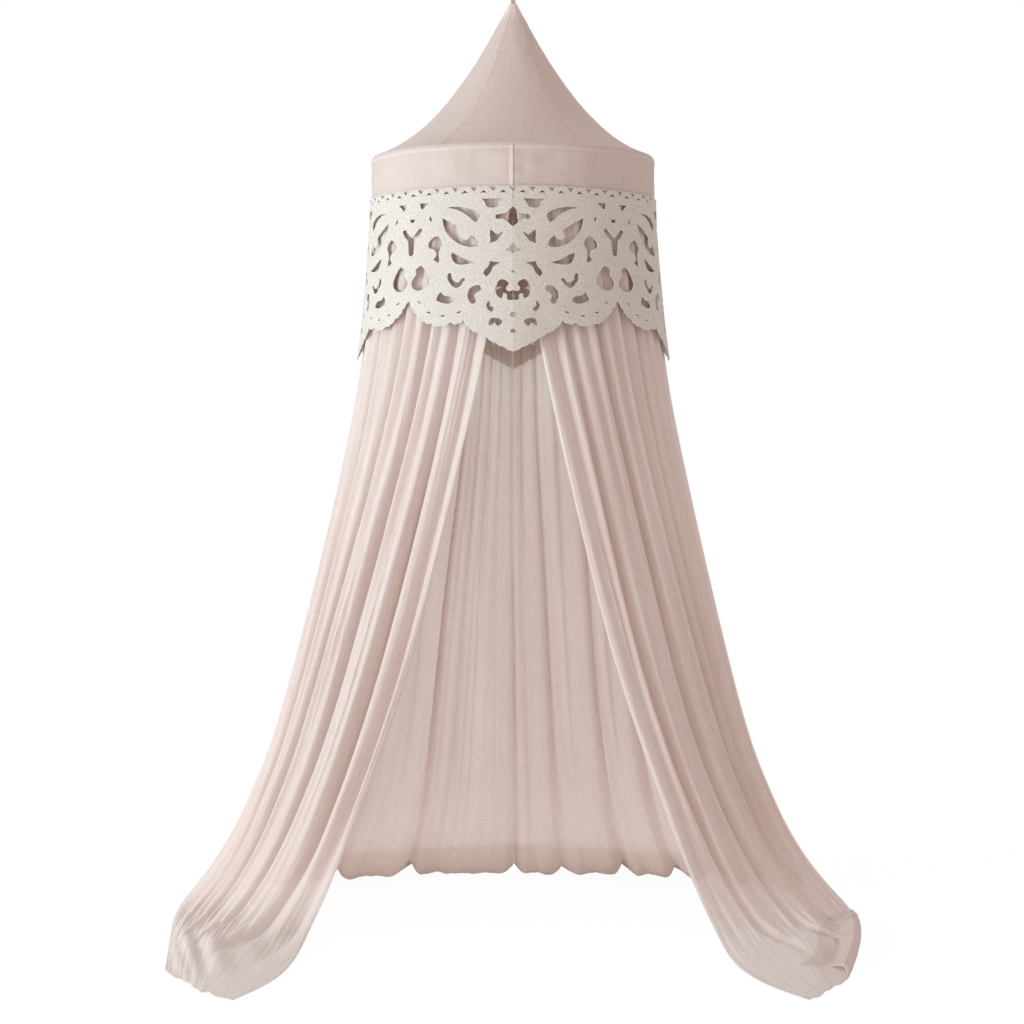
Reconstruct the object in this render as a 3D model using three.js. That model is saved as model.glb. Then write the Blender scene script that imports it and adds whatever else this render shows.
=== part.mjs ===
import * as THREE from 'three';

// Bed crown canopy: a tent roof on a springy hoop, a pierced scalloped valance and four floor-length drapes.
// Millimetres, +Z up, front towards -Y. The origin is where a ceiling hook bears, inside the hanging loop.

// Overall heights, measured downwards from the hook
const roofTipDrop = 70;
const roofDepth = 332;
const bandDepth = 89;
const clothHang = 1498;

// The hoop, drawn oval by the spread drapes: half width and half depth outside the cloth
const hoopHalfWidth = 300;
const hoopHalfDepth = 245;
const ringSteps = 36;

// Cloth and sewing
const sheerThickness = 1.2;
const seamGap = 0.3;

const creaseZ = -roofTipDrop - roofDepth;
const valanceTopZ = creaseZ - bandDepth;
const floorZ = valanceTopZ - clothHang;
const facetSag = hoopHalfWidth * (1 - Math.cos(Math.PI / ringSteps));

function finish(name, color, roughness, metalness = 0) {
  return new THREE.MeshStandardMaterial({ name, color, roughness, metalness });
}

const materials = {
  sheer: finish('sheer', 0xe3cdc4, 0.85),
  roofCloth: finish('roof_cloth', 0xe0c8bf, 0.85),
  felt: finish('felt', 0xe9e0d8, 0.7),
  tape: finish('tape', 0xd3c0b7, 0.8),
  rod: finish('rod', 0xe9e6e1, 0.45),
  ferrule: finish('ferrule', 0xb9bcc0, 0.35, 0.9),
};

const canopy = new THREE.Group();
canopy.name = 'bed_crown_canopy';

function addPiece(name, geometry, material) {
  geometry.computeVertexNormals();
  const mesh = new THREE.Mesh(geometry, material);
  mesh.name = name;
  canopy.add(mesh);
}

// A closed geometry from points and triangles, turned so that its faces point out
function closedGeometry(points, triangles) {
  let volume = 0;
  for (const [a, b, c] of triangles) {
    volume += points[a].dot(points[b].clone().cross(points[c]));
  }
  const turned = volume < 0 ? triangles.map(([a, b, c]) => [a, c, b]) : triangles;
  const geometry = new THREE.BufferGeometry();
  geometry.setAttribute('position', new THREE.Float32BufferAttribute(points.flatMap((p) => p.toArray()), 3));
  geometry.setIndex(turned.flat());
  return geometry;
}

// A thin closed sheet. faceAt(column, row, side) gives its points: side 1 is the outer face, side 0 the inner
function sheet(columns, rows, faceAt) {
  const points = [];
  const triangles = [];
  const index = (column, row, side) => (side * (rows + 1) + row) * (columns + 1) + column;
  const quad = (a, b, c, d) => triangles.push([a, b, c], [a, c, d]);
  for (const side of [0, 1]) {
    for (let row = 0; row <= rows; row++) {
      for (let column = 0; column <= columns; column++) points.push(faceAt(column, row, side));
    }
  }
  for (let row = 0; row < rows; row++) {
    for (let column = 0; column < columns; column++) {
      const corners = (side) => [
        index(column, row, side),
        index(column, row + 1, side),
        index(column + 1, row + 1, side),
        index(column + 1, row, side),
      ];
      quad(...corners(1));
      // Both faces are split along the same diagonal, so a twisted stretch keeps its thickness
      const [near, below, across, beside] = corners(0);
      quad(near, beside, across, below);
    }
    quad(index(0, row, 1), index(0, row, 0), index(0, row + 1, 0), index(0, row + 1, 1));
    const last = columns;
    quad(index(last, row, 0), index(last, row, 1), index(last, row + 1, 1), index(last, row + 1, 0));
  }
  for (let column = 0; column < columns; column++) {
    const next = column + 1;
    quad(index(column, 0, 1), index(next, 0, 1), index(next, 0, 0), index(column, 0, 0));
    quad(index(column, rows, 0), index(next, rows, 0), index(next, rows, 1), index(column, rows, 1));
  }
  return closedGeometry(points, triangles);
}

// A tube or bar whose section rings are lists of points, closed with a cap at each end
function capped(rings, capTriangles) {
  const count = rings[0].length;
  const triangles = [];
  for (let ring = 0; ring + 1 < rings.length; ring++) {
    for (let k = 0; k < count; k++) {
      const next = (k + 1) % count;
      const [a, b] = [ring * count + k, ring * count + next];
      triangles.push([a, b, b + count], [a, b + count, a + count]);
    }
  }
  const last = (rings.length - 1) * count;
  for (const [a, b, c] of capTriangles) {
    triangles.push([a, c, b]);
    triangles.push([last + a, last + b, last + c]);
  }
  return closedGeometry(rings.flat(), triangles);
}

// The triangles of a flat cap, turned the same way round as its outline
function capOf(outline) {
  const flat = outline.map(([x, y]) => new THREE.Vector2(x, y));
  const triangles = THREE.ShapeUtils.triangulateShape(flat, []);
  const areaOf = (corners) => THREE.ShapeUtils.area(corners);
  const capArea = triangles.reduce((sum, triangle) => sum + areaOf(triangle.map((k) => flat[k])), 0);
  return capArea * areaOf(flat) < 0 ? triangles.map(([a, b, c]) => [a, c, b]) : triangles;
}

function circleOutline(radius, sides) {
  const outline = [];
  for (let side = 0; side < sides; side++) {
    const angle = (side + 0.5) / sides * 2 * Math.PI;
    outline.push([radius * Math.cos(angle), radius * Math.sin(angle)]);
  }
  return outline;
}

// A point on the hoop's oval, on the chord between two corners of the ring, so all ring pieces bend alike.
// turn counts whole turns from the front centre towards +X, inset goes inwards
function ovalPoint(turn, inset, z) {
  const corner = (step) => {
    const angle = step / ringSteps * 2 * Math.PI;
    const x = (hoopHalfWidth - inset) * Math.sin(angle);
    return new THREE.Vector3(x, -(hoopHalfDepth - inset) * Math.cos(angle), z);
  };
  const step = Math.floor(turn * ringSteps);
  return corner(step).lerp(corner(step + 1), turn * ringSteps - step);
}

// Arc lengths round the oval, so that flat panels can be laid out along it
const arcSteps = 720;
const arcTable = [0];
for (let step = 1; step <= arcSteps; step++) {
  const length = ovalPoint(step / arcSteps, 0, 0).distanceTo(ovalPoint((step - 1) / arcSteps, 0, 0));
  arcTable.push(arcTable[step - 1] + length);
}
const hoopLength = arcTable[arcSteps];

function turnAtArc(arc) {
  const whole = Math.floor(arc / hoopLength);
  const rest = arc - whole * hoopLength;
  let step = 1;
  while (step < arcSteps && arcTable[step] < rest) step++;
  const part = (rest - arcTable[step - 1]) / (arcTable[step] - arcTable[step - 1]);
  return whole + (step - 1 + part) / arcSteps;
}

// The turns at which every ring piece has its corners, with the two given ends
const sameCornerShare = 0.01;

function ringTurns(from, to) {
  const turns = [from];
  for (let step = Math.ceil(from * ringSteps); step <= to * ringSteps; step++) {
    const clear = sameCornerShare / ringSteps;
    if (step / ringSteps > from + clear && step / ringSteps < to - clear) turns.push(step / ringSteps);
  }
  turns.push(to);
  return turns;
}

const turnOf = (length) => length / hoopLength;

const smooth = (x) => x * x * (3 - 2 * x);

// A value read from a table of [at, value] shares, straight between its rows
function tableAt(table, at) {
  let row = 1;
  while (row < table.length - 1 && at < table[row][0]) row++;
  const [fromAt, fromValue] = table[row - 1];
  const [toAt, toValue] = table[row];
  return fromValue + (toValue - fromValue) * (at - fromAt) / (toAt - fromAt);
}

// Hoop: four rods pushed into four ferrules, inside a sewn casing with an open slit
const rodRadius = 5;
const ferruleWall = 1;
const ferruleLength = 60;
const casingThickness = 1;
const casingSlit = 5;
const casingFolds = 6;
const rodSides = 8;
const ferruleRadius = rodRadius + seamGap + ferruleWall;
const casingRadius = ferruleRadius + seamGap + casingThickness;
const hoopInset = sheerThickness + seamGap + casingRadius;

// Roof: the profile of a concave tent from its tip, as shares of reach and depth, rounded over the hoop
const tipReach = 6.8;
const roofBellyShares = [[0.3, 0.52], [0.62, 0.88]];
const goreCount = 6;
const goreSlackShare = 0.015;
const roofRowShares = [0, 0.02, 0.08, 0.2, 0.36, 0.52, 0.68, 0.84, 1];
const rimRows = 3;

const [lastReachShare, lastDepthShare] = roofBellyShares[1];
const rimSlope = Math.atan2(roofDepth * (1 - lastDepthShare), hoopHalfWidth * (1 - lastReachShare));
const hoopZ = creaseZ + hoopInset * (Math.tan(rimSlope) - 1 / Math.cos(rimSlope));
const rimReach = hoopHalfWidth - hoopInset * (1 - Math.sin(rimSlope));
const rimZ = hoopZ + hoopInset * Math.cos(rimSlope);

const roofCurve = new THREE.CubicBezierCurve(
  new THREE.Vector2(tipReach, -roofTipDrop),
  ...roofBellyShares.map(([reachShare, depthShare]) => new THREE.Vector2(
    tipReach + (rimReach - tipReach) * reachShare,
    -roofTipDrop + (rimZ + roofTipDrop) * depthShare,
  )),
  new THREE.Vector2(rimReach, rimZ),
);

// Each row of the roof: how far out and how high it lies, which way its face points, and its share of slack
function roofProfile() {
  const profile = roofRowShares.map((share) => {
    const point = roofCurve.getPoint(share);
    const along = roofCurve.getTangent(share);
    return { reach: point.x, z: point.y, outward: -along.y, up: along.x, slack: Math.sin(Math.PI * share) };
  });
  for (let row = 1; row <= rimRows; row++) {
    const angle = rimSlope + (Math.PI / 2 - rimSlope) * row / rimRows;
    const [outward, up] = [Math.sin(angle), Math.cos(angle)];
    const reach = hoopHalfWidth - hoopInset * (1 - outward);
    profile.push({ reach, z: hoopZ + hoopInset * up, outward, up, slack: 0 });
  }
  return profile;
}

const roofRowsAt = roofProfile();

// A point of the roof's cloth, a depth below its outer face
function roofPoint(turn, row, depth) {
  const { reach, z, outward, up, slack } = roofRowsAt[row];
  const across = (turn * goreCount + 0.5) % 1;
  const drawn = reach * (1 - goreSlackShare * slack * Math.sin(Math.PI * across)) - depth * outward;
  const angle = turn * 2 * Math.PI;
  const depthReach = reach > rimReach
    ? drawn - hoopHalfWidth + hoopHalfDepth
    : drawn * (rimReach - hoopHalfWidth + hoopHalfDepth) / rimReach;
  return new THREE.Vector3(drawn * Math.sin(angle), -depthReach * Math.cos(angle), z - depth * up);
}

// Six gores, sewn edge to edge, with a gore's middle at the front centre
function roofGore(gore) {
  const from = (gore - 0.5) / goreCount;
  const to = (gore + 0.5) / goreCount;
  const turns = ringTurns(from, to);
  return sheet(turns.length - 1, roofRowsAt.length - 1, (column, row, side) => {
    const point = roofPoint(turns[column], row, side ? 0 : sheerThickness);
    const middle = roofPoint(gore / goreCount, row, 0);
    if (column > 0 && column < turns.length - 1) return point;
    const inwards = middle.clone().sub(point).setZ(0).normalize();
    return point.addScaledVector(inwards, seamGap / 2);
  });
}

for (let gore = 0; gore < goreCount; gore++) {
  addPiece(`roof_gore_${gore + 1}`, roofGore(gore), materials.roofCloth);
}

// Tip patch: a small cone of doubled cloth inside the tip, which the loop's tails are sewn to
const patchThickness = 1;
const patchFirstRow = 1;
const patchLastRow = 2;

function tipPatch() {
  const turns = ringTurns(-0.5 + turnOf(seamGap), 0.5 - turnOf(seamGap));
  return sheet(turns.length - 1, patchLastRow - patchFirstRow, (column, row, side) => (
    roofPoint(turns[column], row + patchFirstRow, sheerThickness + seamGap + (side ? 0 : patchThickness))));
}

addPiece('tip_patch', tipPatch(), materials.roofCloth);

// Hanging loop: a round stuffed strap, folded into an eye, whose tails spread under the patch
const strapRadius = 2.5;
const strapSides = 8;
const eyeRadius = 8;
const neckDrop = 48;
const neckSteps = 6;
const eyeSegments = 7;
const strandOffset = strapRadius + seamGap / 2;

// Where the middle of a tail lies under the roof, at a row of the roof
function tailPoint(row, side) {
  const { reach, z, outward, up } = roofRowsAt[row];
  const depth = sheerThickness + seamGap + patchThickness + 2 * seamGap + strapRadius;
  return new THREE.Vector2(side * (reach - depth * outward), z - depth * up);
}

function hangingLoop() {
  const flatRadius = strapRadius * Math.cos(Math.PI / strapSides);
  const turnRadius = eyeRadius + strapRadius;
  const centreZ = flatRadius - turnRadius * Math.cos(Math.PI / eyeSegments / 2);
  const half = (side) => {
    const neck = new THREE.CubicBezierCurve(
      new THREE.Vector2(side * turnRadius, centreZ),
      new THREE.Vector2(side * turnRadius, (centreZ - neckDrop) / 2),
      new THREE.Vector2(side * strandOffset, (centreZ - neckDrop) / 2),
      new THREE.Vector2(side * strandOffset, -neckDrop),
    );
    const tip = new THREE.Vector2(side * strandOffset, -roofTipDrop);
    return [...neck.getPoints(neckSteps), tip, tailPoint(patchFirstRow, side), tailPoint(patchLastRow, side)];
  };
  const path = half(-1).reverse();
  for (let k = 1; k < eyeSegments; k++) {
    const angle = Math.PI - Math.PI * k / eyeSegments;
    path.push(new THREE.Vector2(turnRadius * Math.cos(angle), centreZ + turnRadius * Math.sin(angle)));
  }
  path.push(...half(1));
  const rings = path.map((centre, k) => {
    const before = path[Math.max(k - 1, 0)];
    const after = path[Math.min(k + 1, path.length - 1)];
    const along = after.clone().sub(before).normalize();
    return circleOutline(strapRadius, strapSides).map(([out, across]) => (
      new THREE.Vector3(centre.x + out * along.y, across, centre.y - out * along.x)));
  });
  return capped(rings, capOf(circleOutline(strapRadius, strapSides)));
}

addPiece('hanging_loop', hangingLoop(), materials.tape);

// Sweeps a section, given as [outwards, upwards] from the hoop's centreline, along the hoop
function hoopSweep(outline, turns) {
  const rings = turns.map((turn) => (
    outline.map(([outward, up]) => ovalPoint(turn, hoopInset - outward, hoopZ + up))));
  return capped(rings, capOf(outline));
}

const hoopPieces = 4;

for (let k = 0; k < hoopPieces; k++) {
  const joint = (k + 0.5) / hoopPieces;
  const turns = ringTurns(joint + turnOf(seamGap), joint + 1 / hoopPieces - turnOf(seamGap));
  addPiece(`hoop_rod_${k + 1}`, hoopSweep(circleOutline(rodRadius, rodSides), turns), materials.rod);
}

// A ferrule is a tube over two rod ends
function ferrule(joint) {
  const half = turnOf(ferruleLength / 2) - turnOf(seamGap);
  const turns = ringTurns(joint - half, joint + half);
  const rings = (radius) => turns.map((turn) => circleOutline(radius, rodSides).map(
    ([outward, up]) => ovalPoint(turn, hoopInset - outward, hoopZ + up)));
  const outer = rings(ferruleRadius);
  const inner = rings(rodRadius + seamGap).reverse();
  const loops = [...outer, ...inner];
  const triangles = [];
  loops.forEach((_, ring) => {
    const nextRing = (ring + 1) % loops.length;
    for (let side = 0; side < rodSides; side++) {
      const nextSide = (side + 1) % rodSides;
      const corner = (r, s) => r * rodSides + s;
      triangles.push([corner(ring, side), corner(ring, nextSide), corner(nextRing, nextSide)]);
      triangles.push([corner(ring, side), corner(nextRing, nextSide), corner(nextRing, side)]);
    }
  });
  return closedGeometry(loops.flat(), triangles);
}

for (let k = 0; k < hoopPieces; k++) {
  addPiece(`hoop_ferrule_${k + 1}`, ferrule((k + 0.5) / hoopPieces), materials.ferrule);
}

// Casing: a strip folded round the hoop, open in a slit at the inner side
function casingOutline() {
  const slit = casingSlit / (2 * casingRadius);
  const arc = (radius) => Array.from({ length: casingFolds + 1 }, (_, k) => {
    const angle = -Math.PI + slit + (2 * Math.PI - 2 * slit) * k / casingFolds;
    return [radius * Math.cos(angle), radius * Math.sin(angle)];
  });
  const clearRadius = ferruleRadius / Math.cos(Math.PI / casingFolds);
  const innerRadius = Math.max(clearRadius, casingRadius - casingThickness);
  return [...arc(casingRadius), ...arc(innerRadius).reverse()];
}

addPiece(
  'hoop_casing',
  hoopSweep(casingOutline(), ringTurns(-0.5 + turnOf(seamGap), 0.5 - turnOf(seamGap))),
  materials.roofCloth,
);

// A plain strip that stands inside the hoop's oval, from one turn to another
function strip(from, to, topZ, bottomZ, inset, thickness) {
  const turns = ringTurns(from, to);
  return sheet(turns.length - 1, 1, (column, row, side) => (
    ovalPoint(turns[column], side ? inset : inset + thickness, row ? bottomZ : topZ)));
}

const valanceDrop = 331;

// Crown band, closed in a butted seam at the front centre, with a tape over the seam inside
const bandUnder = 8;
const seamTapeWidth = 14;
const seamTapeThickness = 0.8;
const bandTopZ = hoopZ - seamGap;

addPiece(
  'crown_band',
  strip(turnOf(seamGap / 2), 1 - turnOf(seamGap / 2), bandTopZ, valanceTopZ - bandUnder, 0, sheerThickness),
  materials.roofCloth,
);

// Drape headings and the tape that holds them, inside the band's lower edge
const headingRise = 6;
const headingTapeHeight = 20;
const headingTapeThickness = 1;
const gatherHeight = 2;
const hangFoldHeight = 12;
const drapeThickness = 2;
const headingEase = 0.8;
const drapeTopInset = sheerThickness + seamGap + headingEase;
const headingZ = valanceTopZ + headingRise;
const foldAtTape = gatherHeight + (hangFoldHeight - gatherHeight) * headingTapeHeight / valanceDrop;
const headingTapeInset = drapeTopInset + drapeThickness + 2 * foldAtTape + seamGap + facetSag / 2;

addPiece(
  'band_seam_tape',
  strip(
    -turnOf(seamTapeWidth / 2), turnOf(seamTapeWidth / 2), hoopZ - casingRadius - seamGap, headingZ + seamGap,
    sheerThickness + seamGap, seamTapeThickness,
  ),
  materials.tape,
);

addPiece(
  'heading_tape',
  strip(
    -0.5 + turnOf(seamGap), 0.5 - turnOf(seamGap), headingZ, headingZ - headingTapeHeight,
    headingTapeInset, headingTapeThickness,
  ),
  materials.tape,
);

// Valance: four stiff pierced panels, butted at the front, back and sides, each from tip to tip
const valanceThickness = 2;
const valanceGap = seamGap + 1.5 * facetSag;
const valanceFlare = 27;
const flareStartShare = 0.36;
const quarterNames = ['front_right', 'rear_right', 'rear_left', 'front_left'];
const panelWidth = hoopLength / quarterNames.length;
const rowTriangles = 11;
const rowTriangleWidth = 15;
const rowTriangleHeight = 8.5;
const rowTriangleTop = 2.5;

// Lower edge from a tip to the peak beside it: [across half a panel, down the drop]
const scallopShares = [
  [0, 1], [0.075, 0.995], [0.135, 0.96], [0.19, 0.945], [0.21, 0.915], [0.26, 0.895], [0.31, 0.865],
  [0.325, 0.835], [0.41, 0.8], [0.45, 0.82], [0.51, 0.83], [0.56, 0.82], [0.625, 0.85], [0.675, 0.82],
  [0.75, 0.812], [0.8, 0.805], [0.84, 0.77], [0.925, 0.725], [0.965, 0.67], [1, 0.66],
];

// Cut-outs of half a panel: [across half a panel from the tip's seam, down the drop]
const sideCutShares = [
  [[0.095, 0.08], [0.29, 0.08], [0.24, 0.13], [0.145, 0.13]],
  [[0.085, 0.28], [0.16, 0.295], [0.205, 0.27], [0.21, 0.355], [0.12, 0.32]],
  [[0.105, 0.475], [0.205, 0.465], [0.265, 0.535], [0.235, 0.56], [0.175, 0.5]],
  [[0.29, 0.625], [0.375, 0.625], [0.405, 0.66], [0.36, 0.725], [0.335, 0.695], [0.34, 0.66]],
  [[0.31, 0.19], [0.4, 0.14], [0.61, 0.125], [0.435, 0.175], [0.34, 0.225]],
  [
    [0.315, 0.37], [0.385, 0.3], [0.44, 0.33], [0.475, 0.29], [0.585, 0.22], [0.675, 0.19], [0.645, 0.26],
    [0.48, 0.36],
  ],
  [[0.345, 0.47], [0.565, 0.405], [0.55, 0.46], [0.42, 0.485]],
  [[0.43, 0.575], [0.51, 0.59], [0.57, 0.535], [0.605, 0.555], [0.52, 0.625], [0.45, 0.6]],
  [[0.525, 0.7], [0.66, 0.645], [0.705, 0.695], [0.595, 0.72]],
  [[0.725, 0.3], [0.81, 0.345], [0.725, 0.41], [0.755, 0.445], [0.7, 0.465], [0.665, 0.35]],
  [[0.82, 0.09], [0.92, 0.09], [0.89, 0.13]],
  [[0.88, 0.475], [0.935, 0.51], [0.975, 0.58], [0.93, 0.625], [0.86, 0.63], [0.79, 0.59], [0.81, 0.53]],
  [[0.09, 0.835], [0.19, 0.815], [0.205, 0.865], [0.11, 0.86]],
];

// Cut-outs across the tip's seam, and across the middle of a panel, as the outline of one half
const seamCutShares = [
  [[0, 0.13], [0.05, 0.165], [0.155, 0.18], [0.155, 0.205], [0.05, 0.22], [0, 0.255]],
  [[0, 0.35], [0.07, 0.395], [0, 0.42]],
  [
    [0, 0.65], [0.055, 0.645], [0.045, 0.6], [0.115, 0.58], [0.155, 0.64], [0.105, 0.695], [0.055, 0.67],
    [0, 0.705],
  ],
  [[0, 0.775], [0.022, 0.785], [0.022, 0.805], [0, 0.815]],
  [[0, 0.88], [0.018, 0.887], [0.018, 0.903], [0, 0.91]],
];
const middleCutShares = [
  [[1, 0.3], [0.965, 0.28], [0.9, 0.25], [0.885, 0.265], [0.945, 0.33], [0.975, 0.41], [1, 0.415]],
];

// A point of the valance: arc along the hoop from the front seam, down from its top edge, out from its back
function valancePoint(arc, down, out) {
  const share = down / valanceDrop;
  const flare = valanceFlare * (flareStartShare * share + (1 - flareStartShare) * share * share);
  return ovalPoint(turnAtArc(arc), -valanceGap - flare - out, valanceTopZ - down);
}

// Swaps the diagonals of a flat pattern's triangles until none is longer than it need be
const halfTurn = Math.PI * 1.0001;

function compactTriangles(triangles, corners) {
  const angleAt = (apex, from, to) => {
    const [a, b] = [corners[from].clone().sub(corners[apex]), corners[to].clone().sub(corners[apex])];
    return Math.abs(Math.atan2(a.cross(b), a.dot(b)));
  };
  let swaps = 1;
  while (swaps > 0) {
    swaps = 0;
    const edges = new Map();
    const done = new Set();
    triangles.forEach((triangle, index) => {
      for (let k = 0; k < 3 && !done.has(index); k++) {
        const [a, b, c] = [triangle[k], triangle[(k + 1) % 3], triangle[(k + 2) % 3]];
        const twin = edges.get(`${b} ${a}`);
        edges.set(`${a} ${b}`, { index, apex: c });
        if (!twin || done.has(twin.index)) continue;
        if (angleAt(c, a, b) + angleAt(twin.apex, a, b) < halfTurn) continue;
        triangles[index] = [a, twin.apex, c];
        triangles[twin.index] = [twin.apex, b, c];
        done.add(index).add(twin.index);
        swaps++;
      }
    });
  }
  return triangles;
}

// Bends a flat pierced panel round the hoop, from an arc on: loops of [arc, down] points, the outline first.
// The pattern is divided with its straight top edge slightly hollowed, so every point there stays a corner
function bentPanel(start, outline, cuts) {
  const hollow = (arc) => arc * (panelWidth - arc) / panelWidth / panelWidth;
  const flat = (loop) => loop.map(([arc, down]) => new THREE.Vector2(arc, -down - hollow(arc)));
  const turned = (loop, clockwise) => (
    THREE.ShapeUtils.isClockWise(flat(loop)) === clockwise ? loop : loop.slice().reverse());
  const loops = [turned(outline, false), ...cuts.map((cut) => turned(cut, true))];
  const all = loops.flat();
  const [contour, ...holes] = loops.map(flat);
  const corners = flat(all);
  const rough = THREE.ShapeUtils.triangulateShape(contour, holes).map(([a, b, c]) => (
    THREE.ShapeUtils.area([corners[a], corners[b], corners[c]]) < 0 ? [a, c, b] : [a, b, c]));
  const faces = compactTriangles(rough, corners);
  const points = [valanceThickness, 0].flatMap((out) => (
    all.map(([arc, down]) => valancePoint(start + arc, down, out))));
  const under = (corner) => corner + all.length;
  const triangles = faces.flatMap(([a, b, c]) => [[a, b, c], [under(a), under(c), under(b)]]);
  let first = 0;
  for (const loop of loops) {
    for (let k = 0; k < loop.length; k++) {
      const [a, b] = [first + k, first + (k + 1) % loop.length];
      triangles.push([b, a, under(a)], [b, under(a), under(b)]);
    }
    first += loop.length;
  }
  return closedGeometry(points, triangles);
}

function valancePanel(quarter) {
  const pitch = panelWidth / rowTriangles;
  const sized = (loop) => loop.map(([across, down]) => [across * panelWidth / 2, down * valanceDrop]);
  const flipped = (loop) => loop.map(([arc, down]) => [panelWidth - arc, down]);
  const rowTriangle = (middle) => [
    [middle, rowTriangleTop],
    [middle + rowTriangleWidth / 2, rowTriangleTop],
    [middle, rowTriangleTop + rowTriangleHeight],
    [middle - rowTriangleWidth / 2, rowTriangleTop],
  ];
  const seam = [...rowTriangle(0).slice(0, 3), ...seamCutShares.flatMap(sized)];
  const lower = sized(scallopShares);
  const top = Array.from({ length: rowTriangles }, (_, k) => [(k + 0.5) * pitch, 0]);
  const side = [[0, 0], ...seam, ...lower];
  const outline = [...side, ...flipped(side.slice(0, -1)).reverse(), ...top.reverse()];
  const cuts = sideCutShares.map(sized).flatMap((loop) => [loop, flipped(loop)]);
  for (const half of middleCutShares.map(sized)) {
    cuts.push([...half, ...flipped(half.slice(1, -1)).reverse()]);
  }
  for (let k = 1; k < rowTriangles; k++) cuts.push(rowTriangle(k * pitch).slice(1));
  const trim = (arc) => Math.min(Math.max(arc, seamGap / 2), panelWidth - seamGap / 2);
  return bentPanel(quarter * panelWidth, outline.map(([arc, down]) => [trim(arc), down]), cuts);
}

quarterNames.forEach((name, quarter) => addPiece(`valance_${name}`, valancePanel(quarter), materials.felt));

// Drapes: one width of cloth in each quarter, gathered on the hoop, swept out and laid on the floor
const foldCount = 6;
const samplesPerFold = 4;
const lowFoldHeight = 26;
const floorFoldHeight = 13;
const landingRadius = 70;
const edgeClear = 1.5;
const puddleHeight = 18;
const drapeSpread = 700;
const drapeTrail = 600;
const bowShare = 0.16;
const flattenBelowShare = 0.16;
const fullFoldBelowShare = 1 - valanceDrop / clothHang;

// How far the cloth has swept out on its way from the heading to the floor: [height left, way out]
const sideSweepShares = [
  [1, 0], [0.93, 0.004], [0.864, 0.022], [0.779, 0.055], [0.718, 0.09], [0.576, 0.185], [0.435, 0.29],
  [0.29, 0.42], [0.2, 0.51], [0.15, 0.6], [0.1, 0.71], [0.05, 0.86], [0, 1],
];
const openSweepShares = [
  [1, 0], [0.93, 0.018], [0.864, 0.055], [0.779, 0.113], [0.688, 0.188], [0.442, 0.4], [0.313, 0.526],
  [0.242, 0.62], [0.156, 0.735], [0.073, 0.87], [0, 1],
];
const hangRowShares = [1, 0.92, 0.864, 0.779, 0.65, 0.48, 0.31, 0.16, 0.075, 0.028, 0];
const floorRowShares = [0.3, 0.65, 1];

// Where the open and the side edge of a drape land, [out from the middle, to the rear] in shares of the
// spread, and how they trail from there over the floor, in shares of the trail
const frontLeftShares = {
  openFoot: [0.567, -0.536], openTrail: [0.133, -0.997], sideFoot: [1.005, -0.13], sideTrail: [-0.06, -0.715],
};
const frontRightShares = {
  openFoot: [0.567, -0.536], openTrail: [0.185, -0.992], sideFoot: [0.998, -0.13], sideTrail: [-0.07, -0.75],
};
const rearShares = {
  openFoot: [0, 0.543], openTrail: [0, 0.877], sideFoot: [0.927, 0.13], sideTrail: [-0.1, 0.915],
};

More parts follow.
